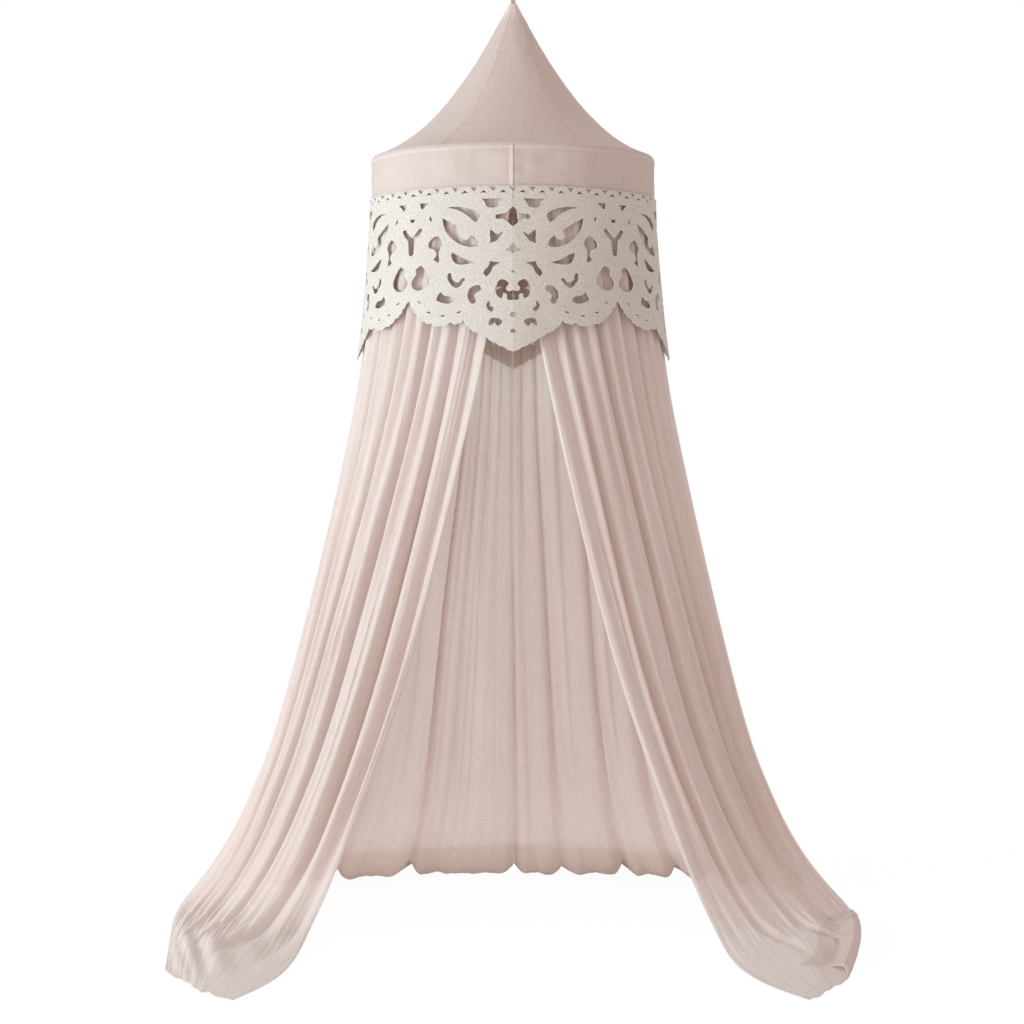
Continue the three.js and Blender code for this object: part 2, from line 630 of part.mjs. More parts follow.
function drape(side, { openFoot, openTrail, sideFoot, sideTrail }, rear) {
  const columns = foldCount * samplesPerFold;
  const rows = hangRowShares.length + floorRowShares.length - 1;
  const hang = headingZ - floorZ;
  const mix = (from, to, share, size) => from.map((value, k) => (value + (to[k] - value) * share) * size);
  const turnAt = (across) => {
    const trimmed = edgeClear + across * (panelWidth - 2 * edgeClear);
    return turnAtArc(rear ? hoopLength / 2 - trimmed : trimmed);
  };
  const foldAt = (left) => {
    const low = 1 - left;
    const hung = left > fullFoldBelowShare
      ? gatherHeight + (hangFoldHeight - gatherHeight) * low / (1 - fullFoldBelowShare)
      : hangFoldHeight + (lowFoldHeight - hangFoldHeight) * smooth(low);
    return hung + (floorFoldHeight - hung) * smooth(Math.max(0, 1 - left / flattenBelowShare));
  };
  // The cloth without its folds, as a point and the height of a fold there
  const base = (across, row) => {
    const bow = Math.sin(Math.PI * across);
    const [outFoot, alongFoot] = mix(openFoot, sideFoot, across, drapeSpread);
    const [outTrail, alongTrail] = mix(openTrail, sideTrail, across, drapeTrail);
    const bowOut = bowShare * hoopHalfWidth * bow;
    const bowAlong = bowShare * hoopHalfDepth * bow * (rear ? 1 : -1);
    const foot = new THREE.Vector2(edgeClear + outFoot + bowOut, alongFoot + bowAlong);
    const trail = new THREE.Vector2(outTrail - bowOut / 2, alongTrail - bowAlong / 2);
    if (row >= hangRowShares.length) {
      const laid = floorRowShares[row - hangRowShares.length];
      const rest = floorFoldHeight + drapeThickness + puddleHeight * Math.sin(Math.PI * laid) * bow;
      const { x, y } = foot.addScaledVector(trail, laid);
      return { point: new THREE.Vector3(x, y, floorZ + rest), fold: floorFoldHeight };
    }
    const left = hangRowShares[row];
    const fold = foldAt(left);
    const topInset = drapeTopInset + drapeThickness / 2 + Math.min(fold, hangFoldHeight);
    const top = ovalPoint(turnAt(across), topInset, 0);
    const sideSweep = tableAt(sideSweepShares, left);
    const openness = rear ? 0 : (1 - across) ** 2;
    const sweep = sideSweep + (tableAt(openSweepShares, left) - sideSweep) * openness;
    const lag = landingRadius * (1 - Math.exp(-left * hang / landingRadius));
    foot.addScaledVector(trail.normalize(), -lag);
    const rest = fold + drapeThickness;
    const point = new THREE.Vector3(top.x, top.y, floorZ + rest + left * (hang - rest));
    point.x += (foot.x - top.x) * sweep;
    point.y += (foot.y - top.y) * sweep;
    return { point, fold };
  };
  const grid = [];
  for (let row = 0; row <= rows; row++) {
    for (let column = 0; column <= columns; column++) grid.push(base(column / columns, row));
  }
  const pointAt = (points) => (column, row) => {
    const [c, r] = [Math.min(Math.max(column, 0), columns), Math.min(Math.max(row, 0), rows)];
    return points[r * (columns + 1) + c];
  };
  const normalOf = (at, column, row) => {
    const across = at(column + 1, row).clone().sub(at(column - 1, row));
    const down = at(column, row + 1).clone().sub(at(column, row - 1));
    const normal = down.cross(across).multiplyScalar(rear ? -1 : 1);
    // Upright edges that meet a neighbour stay in their own plane
    if (column === 0 && rear) normal.x = 0;
    if (column === columns && row < hangRowShares.length) normal.y = 0;
    if (row === 0) normal.z = 0;
    return normal.normalize();
  };
  const smoothAt = pointAt(grid.map(({ point }) => point));
  const folded = grid.map(({ point, fold }, k) => {
    const [column, row] = [k % (columns + 1), Math.floor(k / (columns + 1))];
    const wave = -Math.cos(2 * Math.PI * column / samplesPerFold);
    return point.clone().addScaledVector(normalOf(smoothAt, column, row), fold * wave);
  });
  const foldedAt = pointAt(folded);
  return sheet(columns, rows, (column, row, outer) => {
    const normal = normalOf(row === 0 ? smoothAt : foldedAt, column, row);
    const point = foldedAt(column, row).clone().addScaledVector(normal, (outer - 0.5) * drapeThickness);
    point.x *= side;
    return point;
  });
}

addPiece('drape_front_left', drape(-1, frontLeftShares, false), materials.sheer);
addPiece('drape_front_right', drape(1, frontRightShares, false), materials.sheer);
addPiece('drape_rear_left', drape(-1, rearShares, true), materials.sheer);
addPiece('drape_rear_right', drape(1, rearShares, true), materials.sheer);

export default canopy;
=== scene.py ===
import math

import bpy
import numpy as np
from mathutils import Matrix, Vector
from mathutils.geometry import delaunay_2d_cdt


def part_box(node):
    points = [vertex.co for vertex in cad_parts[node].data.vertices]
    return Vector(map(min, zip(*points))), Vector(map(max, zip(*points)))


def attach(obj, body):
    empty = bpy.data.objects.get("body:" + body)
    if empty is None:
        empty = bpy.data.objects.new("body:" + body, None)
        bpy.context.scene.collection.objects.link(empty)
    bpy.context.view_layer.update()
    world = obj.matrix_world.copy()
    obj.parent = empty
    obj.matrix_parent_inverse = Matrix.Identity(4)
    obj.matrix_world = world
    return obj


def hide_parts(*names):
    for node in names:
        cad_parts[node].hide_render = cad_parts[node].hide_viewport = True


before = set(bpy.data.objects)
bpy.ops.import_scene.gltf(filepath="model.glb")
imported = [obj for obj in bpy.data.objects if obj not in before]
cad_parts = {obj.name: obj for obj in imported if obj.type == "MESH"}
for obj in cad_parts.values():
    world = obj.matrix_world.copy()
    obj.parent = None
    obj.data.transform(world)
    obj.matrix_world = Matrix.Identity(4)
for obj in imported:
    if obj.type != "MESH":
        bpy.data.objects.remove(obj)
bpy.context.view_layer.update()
print("frame loaded")

# The crown's sizes, in metres, read from the frame where it holds them
bandLow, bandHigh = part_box("crown_band")
valanceLow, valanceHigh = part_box("valance_front_right")
drapeLow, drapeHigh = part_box("drape_rear_left")
crown = {
    "halfWidth": bandHigh.x,
    "halfDepth": bandHigh.y,
    "tipZ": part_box("roof_gore_1")[1].z,
    "bandDepth": 0.089,
    "bandLowZ": bandLow.z,
    "valanceTopZ": valanceHigh.z,
    "headingZ": drapeHigh.z,
    "floorZ": drapeLow.z - 0.001,
    "sheetThickness": 0.0008,
    "hoopInset": 0.0091,
}


# Camera and stage

cameraSettings = {"place": (0, -4.96, -1.151), "focalLength": 81.95, "shiftX": -0.001}
lightSettings = {
    "sky": 0.66,
    "skyColor": (1.0, 0.92, 0.88),
    "keyPower": 165,
    "keyColor": (0.86, 1.05, 1.15),
    "keyPlace": (-3.9, -2.3, -1.3),
    "keyTarget": (0, 0, -0.95),
    "keySize": 2.4,
    "floorHalf": 12,
    "floorColor": 0.9,
    "floorLift": 0.93,
    "floorGlow": 1.03,
}


def addObject(name, data):
    thing = bpy.data.objects.new(name, data)
    bpy.context.collection.objects.link(thing)
    return thing


def aim(thing, direction):
    thing.rotation_euler = Vector(direction).to_track_quat("-Z", "Y").to_euler()


def makeCamera():
    lens = bpy.data.cameras.new("camera")
    lens.lens = cameraSettings["focalLength"]
    lens.sensor_width = 36
    lens.shift_x = cameraSettings["shiftX"]
    lens.clip_end = 50
    camera = addObject("camera", lens)
    camera.location = cameraSettings["place"]
    aim(camera, (0, 1, 0))
    bpy.context.scene.camera = camera


makeCamera()
bpy.context.scene.view_settings.view_transform = "Standard"


# Shader maths: a socket that takes part in plain arithmetic

class Socket:
    def __init__(self, tree, out):
        self.tree = tree
        self.out = out

    def math(self, operation, *others, flip=False):
        node = self.tree.nodes.new("ShaderNodeMath")
        node.operation = operation
        values = [self, *others]
        if flip:
            values.reverse()
        for slot, value in zip(node.inputs, values):
            connect(self.tree, value, slot)
        return Socket(self.tree, node.outputs[0])

    def __add__(self, other):
        return self.math("ADD", other)

    def __sub__(self, other):
        return self.math("SUBTRACT", other)

    def __rsub__(self, other):
        return self.math("SUBTRACT", other, flip=True)

    def __mul__(self, other):
        return self.math("MULTIPLY", other)

    def __rpow__(self, other):
        return self.math("POWER", other, flip=True)

    def __gt__(self, other):
        return self.math("GREATER_THAN", other)

    __radd__ = __add__
    __rmul__ = __mul__

    def sine(self):
        return self.math("SINE")

    def clamped(self):
        return self.math("MAXIMUM", 0).math("MINIMUM", 1)


def connect(tree, value, slot):
    if isinstance(value, Socket):
        tree.links.new(value.out, slot)
    else:
        slot.default_value = value


# The shader nodes of a material, or of the world
class Finish:
    def __init__(self, owner):
        owner.use_nodes = True
        self.owner = owner
        self.tree = owner.node_tree
        self.tree.nodes.clear()

    # Any node: the values or links of its sockets, the output that is used, and its settings
    def node(self, kind, sockets=None, out=0, **settings):
        made = self.tree.nodes.new("ShaderNode" + kind)
        for name, value in settings.items():
            setattr(made, name, value)
        for name, value in (sockets or {}).items():
            connect(self.tree, value, made.inputs[name])
        return Socket(self.tree, made.outputs[out])

    def mixColors(self, share, look):
        low, high = ((*look[end], 1) for end in ("shade", "light"))
        return self.node("Mix", {0: share, 6: low, 7: high}, 2, data_type="RGBA")

    def noise(self, vector, scale=1, detail=2, roughness=0.5):
        sockets = {"Vector": vector, "Scale": scale, "Detail": detail, "Roughness": roughness}
        return self.node("TexNoise", sockets)

    def bump(self, height, distance, strength=1, normal=None):
        sockets = {"Height": height, "Distance": distance, "Strength": strength}
        if normal:
            sockets["Normal"] = normal
        return self.node("Bump", sockets)

    def place(self):
        return self.node("TexCoord", out="Object")

    # The UV map's lengths in metres, along the weft and along the warp
    def clothLengths(self):
        return [self.node("SeparateXYZ", {0: self.node("TexCoord", out="UV")}, axis) for axis in "XY"]

    def clothNoise(self, lengths, scales, detail=2, roughness=0.5):
        across, along = (length * scale for length, scale in zip(lengths, scales))
        return self.noise(self.node("CombineXYZ", {"X": across, "Y": along}), 1, detail, roughness)

    # One for rays that the camera sees, straight, off a mirror or through glass
    def seen(self):
        straight, mirrored, through = (
            self.node("LightPath", out=f"Is {kind} Ray") for kind in ("Camera", "Glossy", "Transmission"))
        return straight.math("MAXIMUM", mirrored).math("MAXIMUM", through)

    def surface(self, sockets):
        return self.finish(self.node("BsdfPrincipled", sockets))

    def finish(self, shader, kind="OutputMaterial"):
        output = self.tree.nodes.new("ShaderNode" + kind)
        self.tree.links.new(shader.out, output.inputs["Surface"])
        return self.owner


def newFinish(name):
    return Finish(bpy.data.materials.new(name))


def fromSrgb(red, green, blue):
    return tuple(((v / 255 + 0.055) / 1.055) ** 2.4 for v in (red, green, blue))


# Floor and backdrop: pale, lit like everything else, and lifted to white for the camera alone

def stageFinish():
    finish = newFinish("stage")
    matt = finish.node("BsdfDiffuse", {"Color": (*[lightSettings["floorColor"]] * 3, 1)})
    lift = finish.node("Emission", {"Color": (1, 1, 1, 1), "Strength": lightSettings["floorGlow"]})
    share = finish.seen() * lightSettings["floorLift"]
    return finish.finish(finish.node("MixShader", {0: share, 1: matt, 2: lift}))


def makeStage():
    half, z = lightSettings["floorHalf"], crown["floorZ"]
    mesh = bpy.data.meshes.new("floor")
    corners = [(-half, -half, z), (half, -half, z), (half, half, z), (-half, half, z)]
    mesh.from_pydata(corners, [], [(0, 1, 2, 3)])
    mesh.materials.append(stageFinish())
    addObject("floor", mesh)


def makeLights():
    sky = Finish(bpy.data.worlds.new("studio"))
    skyColor = (*lightSettings["skyColor"], 1)
    soft = sky.node("Background", {"Color": skyColor, "Strength": lightSettings["sky"]})
    white = sky.node("Background", {"Color": (1, 1, 1, 1), "Strength": 1})
    mixed = sky.node("MixShader", {0: sky.seen(), 1: soft, 2: white})
    bpy.context.scene.world = sky.finish(mixed, "OutputWorld")
    key = bpy.data.lights.new("key", "AREA")
    key.energy = lightSettings["keyPower"]
    key.color = lightSettings["keyColor"]
    key.size = lightSettings["keySize"]
    lamp = addObject("key", key)
    lamp.location = lightSettings["keyPlace"]
    aim(lamp, Vector(lightSettings["keyTarget"]) - lamp.location)
    lamp.visible_camera = False


makeStage()
makeLights()
print("stage ready")


# Finishes

voileLook = {
    "light": fromSrgb(250, 241, 236),
    "shade": fromSrgb(238, 216, 207),
    "cover": 0.5,
    "glow": 0.42,
    "streak": 0.4,
    "crinkle": 0.8,
}
# The rear drapes are the same voile, given more translucent glow as painted light on their shaded inside,
# and a little more cover
rearPaintedLightLook = {**voileLook, "shade": fromSrgb(236, 217, 208), "cover": 0.55, "glow": 0.7, "streak": 0.3}
roofLook = {
    "light": fromSrgb(241, 226, 219),
    "shade": fromSrgb(226, 203, 194),
    "cover": 0.86,
    "glow": 0.14,
    "streak": 0.15,
    "crinkle": 0.25,
}
# How many to the metre, along the weft and along the warp
weave = {
    "warpSlubs": (1100, 24),
    "weftSlubs": (24, 1100),
    "crinkles": (170, 6),
    "streaks": (62, 1.6),
    "clouds": (6, 2.5),
    "glowPerLayer": 0.6,
}


# Woven sheer cloth. Its attribute of layers counts how many thicknesses lie there, in hems and gathers,
# and also carries painted shade: it is raised in the drapes' creases, which makes the cloth denser and
# darker there, and lowered as painted light at the shaded top of the rear drapes and on the front drapes'
# floor part
def clothFinish(name, look):
    finish = newFinish(name)
    lengths = finish.clothLengths()
    slubs = finish.clothNoise(lengths, weave["warpSlubs"]) * 0.55
    slubs = slubs + finish.clothNoise(lengths, weave["weftSlubs"]) * 0.45
    crinkles = finish.clothNoise(lengths, weave["crinkles"], 3)
    streaks = finish.clothNoise(lengths, weave["streaks"], 3, 0.6)
    clouds = finish.clothNoise(lengths, weave["clouds"])
    tone = slubs * 1.1 + (clouds - 0.5) * 0.5 + (streaks - 0.5) * (1.9 * look["streak"]) - 0.05
    color = finish.mixColors(tone.clamped(), look)
    fine = finish.bump(slubs, 0.0006, 0.6)
    normal = finish.bump(crinkles * look["crinkle"] + streaks * look["streak"], 0.003, 0.5, fine)
    lit = finish.node(
        "BsdfPrincipled", {"Base Color": color, "Roughness": 0.9, "Sheen Weight": 0.35, "Normal": normal})
    through = finish.node("BsdfTranslucent", {"Color": color, "Normal": normal})
    layersAndPaintedShade = finish.node("Attribute", out="Fac", attribute_name="layersAndPaintedShade")
    glow = look["glow"] * weave["glowPerLayer"] ** (layersAndPaintedShade - 1)
    body = finish.node("MixShader", {0: glow, 1: lit, 2: through})
    cover = (1 - (1 - look["cover"]) ** layersAndPaintedShade + (slubs - 0.5) * 0.16).clamped()
    return finish.finish(finish.node("MixShader", {0: cover, 1: finish.node("BsdfTransparent"), 2: body}))


feltLook = {
    "light": fromSrgb(240, 231, 222),
    "shade": fromSrgb(204, 190, 179),
    "pebble": 480,
    "grain": 1500,
    "spark": 0.8,
}
cutEdgeLook = {"light": fromSrgb(250, 245, 240), "shade": feltLook["light"], "fibre": 1200}


# Pebbled, slightly glittering felt
def feltFinish():
    finish = newFinish("felt")
    place = finish.place()
    pebbleHollowsAndShade = finish.node("TexVoronoi", {"Vector": place, "Scale": feltLook["pebble"]})
    speckle = finish.node("TexVoronoi", {"Vector": place, "Scale": feltLook["pebble"] * 1.3}, "Color")
    grain = finish.noise(place, feltLook["grain"])
    clouds = finish.noise(place, 30)
    # Painted shade: the colour darkens towards the hollows between the pebbles, the same distance that
    # sinks them in the bump
    tone = 1.2 - pebbleHollowsAndShade * 1.15 + (grain - 0.5) * 0.9 + (clouds - 0.5) * 0.3 + (speckle - 0.5) * 0.35
    return finish.surface({
        "Base Color": finish.mixColors(tone.clamped(), feltLook),
        "Roughness": 0.72 - (speckle > feltLook["spark"]) * 0.45,
        "Normal": finish.bump(1 - pebbleHollowsAndShade + grain * 0.35, 0.0014, 0.9),
    })


def cutEdgeFinish():
    finish = newFinish("felt_cut_edge")
    fibres = finish.noise(finish.place(), cutEdgeLook["fibre"])
    color = finish.mixColors(fibres, cutEdgeLook)
    normal = finish.bump(fibres, 0.0004, 0.5)
    return finish.surface({"Base Color": color, "Roughness": 0.9, "Normal": normal})


tapeLook = {"light": fromSrgb(214, 196, 187), "shade": fromSrgb(190, 168, 158), "ribPitch": 0.0011}
threadLook = {"light": fromSrgb(216, 197, 188), "shade": fromSrgb(190, 168, 158), "twist": 2500}


# Cotton tape with fine ribs across it
def tapeFinish():
    finish = newFinish("tape")
    across, along = lengths = finish.clothLengths()
    ribs = (along * (2 * math.pi / tapeLook["ribPitch"]) + across * 900).sine() * 0.5 + 0.5
    fibres = finish.clothNoise(lengths, (1500, 300))
    return finish.surface({
        "Base Color": finish.mixColors((ribs * 0.5 + fibres * 0.5).clamped(), tapeLook),
        "Roughness": 0.88,
        "Sheen Weight": 0.2,
        "Normal": finish.bump(ribs + fibres * 0.4, 0.0003, 0.7),
    })


def threadFinish():
    finish = newFinish("thread")
    twist = finish.noise(finish.place(), threadLook["twist"], 1)
    return finish.surface({"Base Color": finish.mixColors(twist, threadLook), "Roughness": 0.6})


hoopLooks = {
    "rod": {
        "light": (0.85, 0.84, 0.81), "shade": (0.70, 0.69, 0.66), "grain": (60, 60, 900),
        "metallic": 0, "roughness": (0.4, 0.15), "bump": 0.0002,
    },
    "ferrule": {
        "light": (0.72, 0.73, 0.75), "shade": (0.52, 0.53, 0.55), "grain": (90, 90, 2400),
        "metallic": 0.95, "roughness": (0.25, 0.2), "bump": 0,
    },
}


# Pulled fibre rod and drawn tube, both with a fine grain
def hoopFinish(name):
    look = hoopLooks[name]
    finish = newFinish(name)
    grain = finish.noise(finish.node("Mapping", {"Vector": finish.place(), "Scale": look["grain"]}), 1, 3)
    smooth, rough = look["roughness"]
    return finish.surface({
        "Base Color": finish.mixColors(grain, look),
        "Metallic": look["metallic"],
        "Roughness": smooth + grain * rough,
        "Normal": finish.bump(grain, look["bump"], 0.4),
    })


finishes = {
    "voile": clothFinish("voile", voileLook),
    "rearVoilePaintedLight": clothFinish("rear_voile_painted_light", rearPaintedLightLook),
    "roofVoile": clothFinish("roof_voile", roofLook),
    "felt": feltFinish(),
    "cutEdge": cutEdgeFinish(),
    "tape": tapeFinish(),
    "thread": threadFinish(),
    "rod": hoopFinish("rod"),
    "ferrule": hoopFinish("ferrule"),
}
print("finishes ready")


# Meshes from grids of points

def unit(vectors):
    return vectors / np.maximum(np.linalg.norm(vectors, axis=-1, keepdims=True), 1e-12)


def gridNormals(grid):
    down = np.gradient(grid, axis=0)
    across = np.gradient(grid, axis=1)
    return unit(np.cross(down, across))


def smoothStep(x):
    x = np.clip(x, 0, 1)
    return x * x * (3 - 2 * x)


def blend(start, end, share):
    return start + (end - start) * share


def lengthAlong(points):
    return np.concatenate([[0], np.cumsum(np.linalg.norm(np.diff(points, axis=0), axis=1))])


def bezier(knots, t):
    a, b, c, d = np.asarray(knots, dtype=float)
    return (1 - t) ** 3 * a + 3 * (1 - t) ** 2 * t * b + 3 * (1 - t) * t ** 2 * c + t ** 3 * d


def addMesh(name, points, faces, uv, finish, layersAndPaintedShade=None, sharp=40):
    mesh = bpy.data.meshes.new(name)
    mesh.from_pydata(points.tolist(), [], faces.tolist() if hasattr(faces, "tolist") else faces)
    loops = np.empty(len(mesh.loops), dtype=np.int32)
    mesh.loops.foreach_get("vertex_index", loops)
    layer = mesh.uv_layers.new(name="UVMap")
    layer.data.foreach_set("uv", uv[loops].astype(np.float32).ravel())
    cover = mesh.attributes.new("layersAndPaintedShade", "FLOAT", "POINT")
    values = np.ones(len(points)) if layersAndPaintedShade is None else layersAndPaintedShade
    cover.data.foreach_set("value", values.astype(np.float32))
    mesh.polygons.foreach_set("use_smooth", np.ones(len(mesh.polygons), dtype=bool))
    mesh.set_sharp_from_angle(angle=math.radians(sharp))
    mesh.materials.append(finish)
    mesh.update()
    return addObject(name, mesh)


# A closed thin shell round a grid of points, as thick as thickness says there
def shell(name, grid, thickness, uv, finish, layersAndPaintedShade=None, outwards=None):
    rows, columns = grid.shape[:2]
    normals = gridNormals(grid)
    if outwards is not None and np.sum(normals * outwards) < 0:
        grid = grid[:, ::-1]
        uv = uv[:, ::-1]
        normals = gridNormals(grid)
        layersAndPaintedShade = None if layersAndPaintedShade is None else layersAndPaintedShade[:, ::-1]
        thickness = thickness[:, ::-1] if np.ndim(thickness) else thickness
    half = normals * np.broadcast_to(np.asarray(thickness) / 2, (rows, columns))[..., None]
    points = np.concatenate([(grid + half).reshape(-1, 3), (grid - half).reshape(-1, 3)])
    index = np.arange(rows * columns).reshape(rows, columns)
    under = index + rows * columns
    quads = [
        np.stack([index[:-1, :-1], index[1:, :-1], index[1:, 1:], index[:-1, 1:]], -1).reshape(-1, 4),
        np.stack([under[:-1, :-1], under[:-1, 1:], under[1:, 1:], under[1:, :-1]], -1).reshape(-1, 4),
    ]
    rims = [
        (index[0, :], under[0, :]),
        (index[-1, ::-1], under[-1, ::-1]),
        (index[::-1, 0], under[::-1, 0]),
        (index[:, -1], under[:, -1]),
    ]
    for near, far in rims:
        quads.append(np.stack([near[:-1], near[1:], far[1:], far[:-1]], -1))
    flatUv = np.concatenate([uv.reshape(-1, 2)] * 2)
    flatLayersAndPaintedShade = None if layersAndPaintedShade is None else np.concatenate([layersAndPaintedShade.ravel()] * 2)
    return addMesh(name, points, np.concatenate(quads), flatUv, finish, flatLayersAndPaintedShade)


def asPiece(piece, slotName, *nodes):
    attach(piece, "root")
    if nodes:
        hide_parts(*nodes)
    return piece


def meshArea(piece):
    return sum(face.area for face in piece.data.polygons) / 2


# The oval of the hoop, as an angle from the front centre towards +X for each length along it
ovalAngles = np.linspace(0, 2 * math.pi, 2881)
ovalSteps = np.hypot(
    crown["halfWidth"] * np.diff(np.sin(ovalAngles)), crown["halfDepth"] * np.diff(np.cos(ovalAngles)))
ovalLengths = np.concatenate([[0], np.cumsum(ovalSteps)])
ovalLength = ovalLengths[-1]


def angleAt(length):
    length = np.asarray(length, dtype=float)
    whole = np.floor(length / ovalLength)
    return whole * 2 * math.pi + np.interp(length - whole * ovalLength, ovalLengths, ovalAngles)


def ovalPoints(angle, inset, z):
    x = (crown["halfWidth"] - inset) * np.sin(angle)
    y = -(crown["halfDepth"] - inset) * np.cos(angle)
    return np.stack(np.broadcast_arrays(x, y, z), -1)


def outwardFrom(grid):
    away = grid.copy()
    away[..., 2] = 0
    return unit(away)


# Smooth seeded noise on a plane, from about -1 to 1
def softNoise(x, y, seed, reachX, reachY, waves=7):
    random = np.random.RandomState(seed)
    total = np.zeros(np.broadcast(x, y).shape)
    for _ in range(waves):
        turnX = random.uniform(-1, 1) * reachX
        turnY = random.uniform(-1, 1) * reachY
        total = total + np.sin(2 * math.pi * (turnX * x + turnY * y + random.uniform()))
    return total / math.sqrt(waves)


# Stitches: short thread capsules along the edges of a mesh of lines, made by geometry nodes

def stitchTree():
    tree = bpy.data.node_groups.new("stitches", "GeometryNodeTree")
    face = tree.interface
    face.new_socket("Geometry", in_out="INPUT", socket_type="NodeSocketGeometry")
    for name in ("Pitch", "Stitch Length", "Thread Radius"):
        face.new_socket(name, in_out="INPUT", socket_type="NodeSocketFloat")
    face.new_socket("Thread", in_out="INPUT", socket_type="NodeSocketMaterial")
    face.new_socket("Geometry", in_out="OUTPUT", socket_type="NodeSocketGeometry")
    kinds = {
        "given": "NodeGroupInput",
        "curve": "GeometryNodeMeshToCurve",
        "spaced": "GeometryNodeResampleCurve",
        "tangent": "GeometryNodeInputTangent",
        "turn": "FunctionNodeAlignRotationToVector",
        "ball": "GeometryNodeMeshUVSphere",
        "half": "ShaderNodeMath",
        "size": "ShaderNodeCombineXYZ",
        "place": "GeometryNodeInstanceOnPoints",
        "real": "GeometryNodeRealizeInstances",
        "cover": "GeometryNodeSetMaterial",
        "result": "NodeGroupOutput",
    }
    nodes = {name: tree.nodes.new(kind) for name, kind in kinds.items()}
    nodes["spaced"].mode = "LENGTH"
    nodes["turn"].axis = "Z"
    nodes["half"].operation = "MULTIPLY"
    nodes["half"].inputs[1].default_value = 0.5
    for name, value in (("Segments", 6), ("Rings", 4), ("Radius", 1)):
        nodes["ball"].inputs[name].default_value = value
    for source, output, target, slot in (
        ("given", "Geometry", "curve", "Mesh"),
        ("curve", "Curve", "spaced", "Curve"),
        ("given", "Pitch", "spaced", "Length"),
        ("tangent", "Tangent", "turn", "Vector"),
        ("spaced", "Curve", "place", "Points"),
        ("ball", "Mesh", "place", "Instance"),
        ("turn", "Rotation", "place", "Rotation"),
        ("given", "Stitch Length", "half", 0),
        ("given", "Thread Radius", "size", "X"),
        ("given", "Thread Radius", "size", "Y"),
        ("half", 0, "size", "Z"),
        ("size", 0, "place", "Scale"),
        ("place", "Instances", "real", "Geometry"),
        ("real", "Geometry", "cover", "Geometry"),
        ("given", "Thread", "cover", "Material"),
        ("cover", "Geometry", "result", "Geometry"),
    ):
        tree.links.new(nodes[source].outputs[output], nodes[target].inputs[slot])
    return tree


stitching = stitchTree()


def stitches(name, lines, pitch=0.004, length=0.0028, radius=0.00028, slotName="tape"):
    edges = []
    first = 0
    for line in lines:
        edges += [(first + k, first + k + 1) for k in range(len(line) - 1)]
        first += len(line)
    mesh = bpy.data.meshes.new(name + "_lines")
    mesh.from_pydata(np.concatenate(lines).tolist(), edges, [])
    guide = addObject(name + "_lines", mesh)
    modifier = guide.modifiers.new("stitches", "NODES")
    modifier.node_group = stitching
    values = {
        "Pitch": pitch, "Stitch Length": length, "Thread Radius": radius, "Thread": finishes["thread"],
    }
    for item in stitching.interface.items_tree:
        if item.in_out == "INPUT" and item.name in values:
            modifier[item.identifier] = values[item.name]
    guide.update_tag()
    graph = bpy.context.evaluated_depsgraph_get()
    made = bpy.data.meshes.new_from_object(guide.evaluated_get(graph), depsgraph=graph)
    made.name = name
    bpy.data.objects.remove(guide)
    made.polygons.foreach_set("use_smooth", np.ones(len(made.polygons), dtype=bool))
    return asPiece(addObject(name, made), slotName)


# Roof: six gores with felled seams, rounded over the hoop

roof = {
    "tipReach": 0.0068,
    "bellyShares": ((0.3, 0.52), (0.62, 0.88)),
    "slackShare": 0.015,
    "gores": 6,
    "columns": 46,
    "rows": 84,
    "rimRows": 12,
    "seamWidth": 0.006,
    "seamRise": 0.0006,
    "underDrop": 0.0016,
    "pucker": 0.0007,
    "puckerReach": 0.016,
    "softness": 0.0012,
    "stitchOffset": 0.0052,
}


# The roof's outline from the tip to the band: [reach, height], and how slack the cloth is there
def roofProfile():
    width, inset = crown["halfWidth"], crown["hoopInset"]
    creaseZ = crown["valanceTopZ"] + crown["bandDepth"]
    farReach, farDepth = roof["bellyShares"][1]
    slope = math.atan2((crown["tipZ"] - creaseZ) * (1 - farDepth), width * (1 - farReach))
    hoopZ = creaseZ + inset * (math.tan(slope) - 1 / math.cos(slope))
    tip = np.array([roof["tipReach"], crown["tipZ"]])
    rim = np.array([width - inset * (1 - math.sin(slope)), hoopZ + inset * math.cos(slope)])
    belly = [blend(tip, rim, shares) for shares in roof["bellyShares"]]
    t = np.linspace(0, 1, roof["rows"])[:, None]
    angle = slope + (math.pi / 2 - slope) * np.linspace(0, 1, roof["rimRows"] + 1)[1:]
    rounded = np.stack([width - inset * (1 - np.sin(angle)), hoopZ + inset * np.cos(angle)], -1)
    profile = np.concatenate([bezier([tip, *belly, rim], t), rounded])
    slack = np.concatenate([np.sin(math.pi * t[:, 0]), np.zeros(roof["rimRows"])])
    return profile, slack, rim[0], hoopZ


roofLine, roofSlack, rimReach, hoopZ = roofProfile()
roofRun = lengthAlong(roofLine)


def roofSurface(angle, row, slack):
    reach = roofLine[row, 0][:, None]
    z = roofLine[row, 1][:, None]
    narrow = crown["halfWidth"] - crown["halfDepth"]
    drawn = reach * (1 - slack)
    deep = np.where(reach > rimReach, drawn - narrow, drawn * (rimReach - narrow) / rimReach)
    x = drawn * np.sin(angle)
    y = -deep * np.cos(angle)
    return np.stack(np.broadcast_arrays(x, y, z), -1)


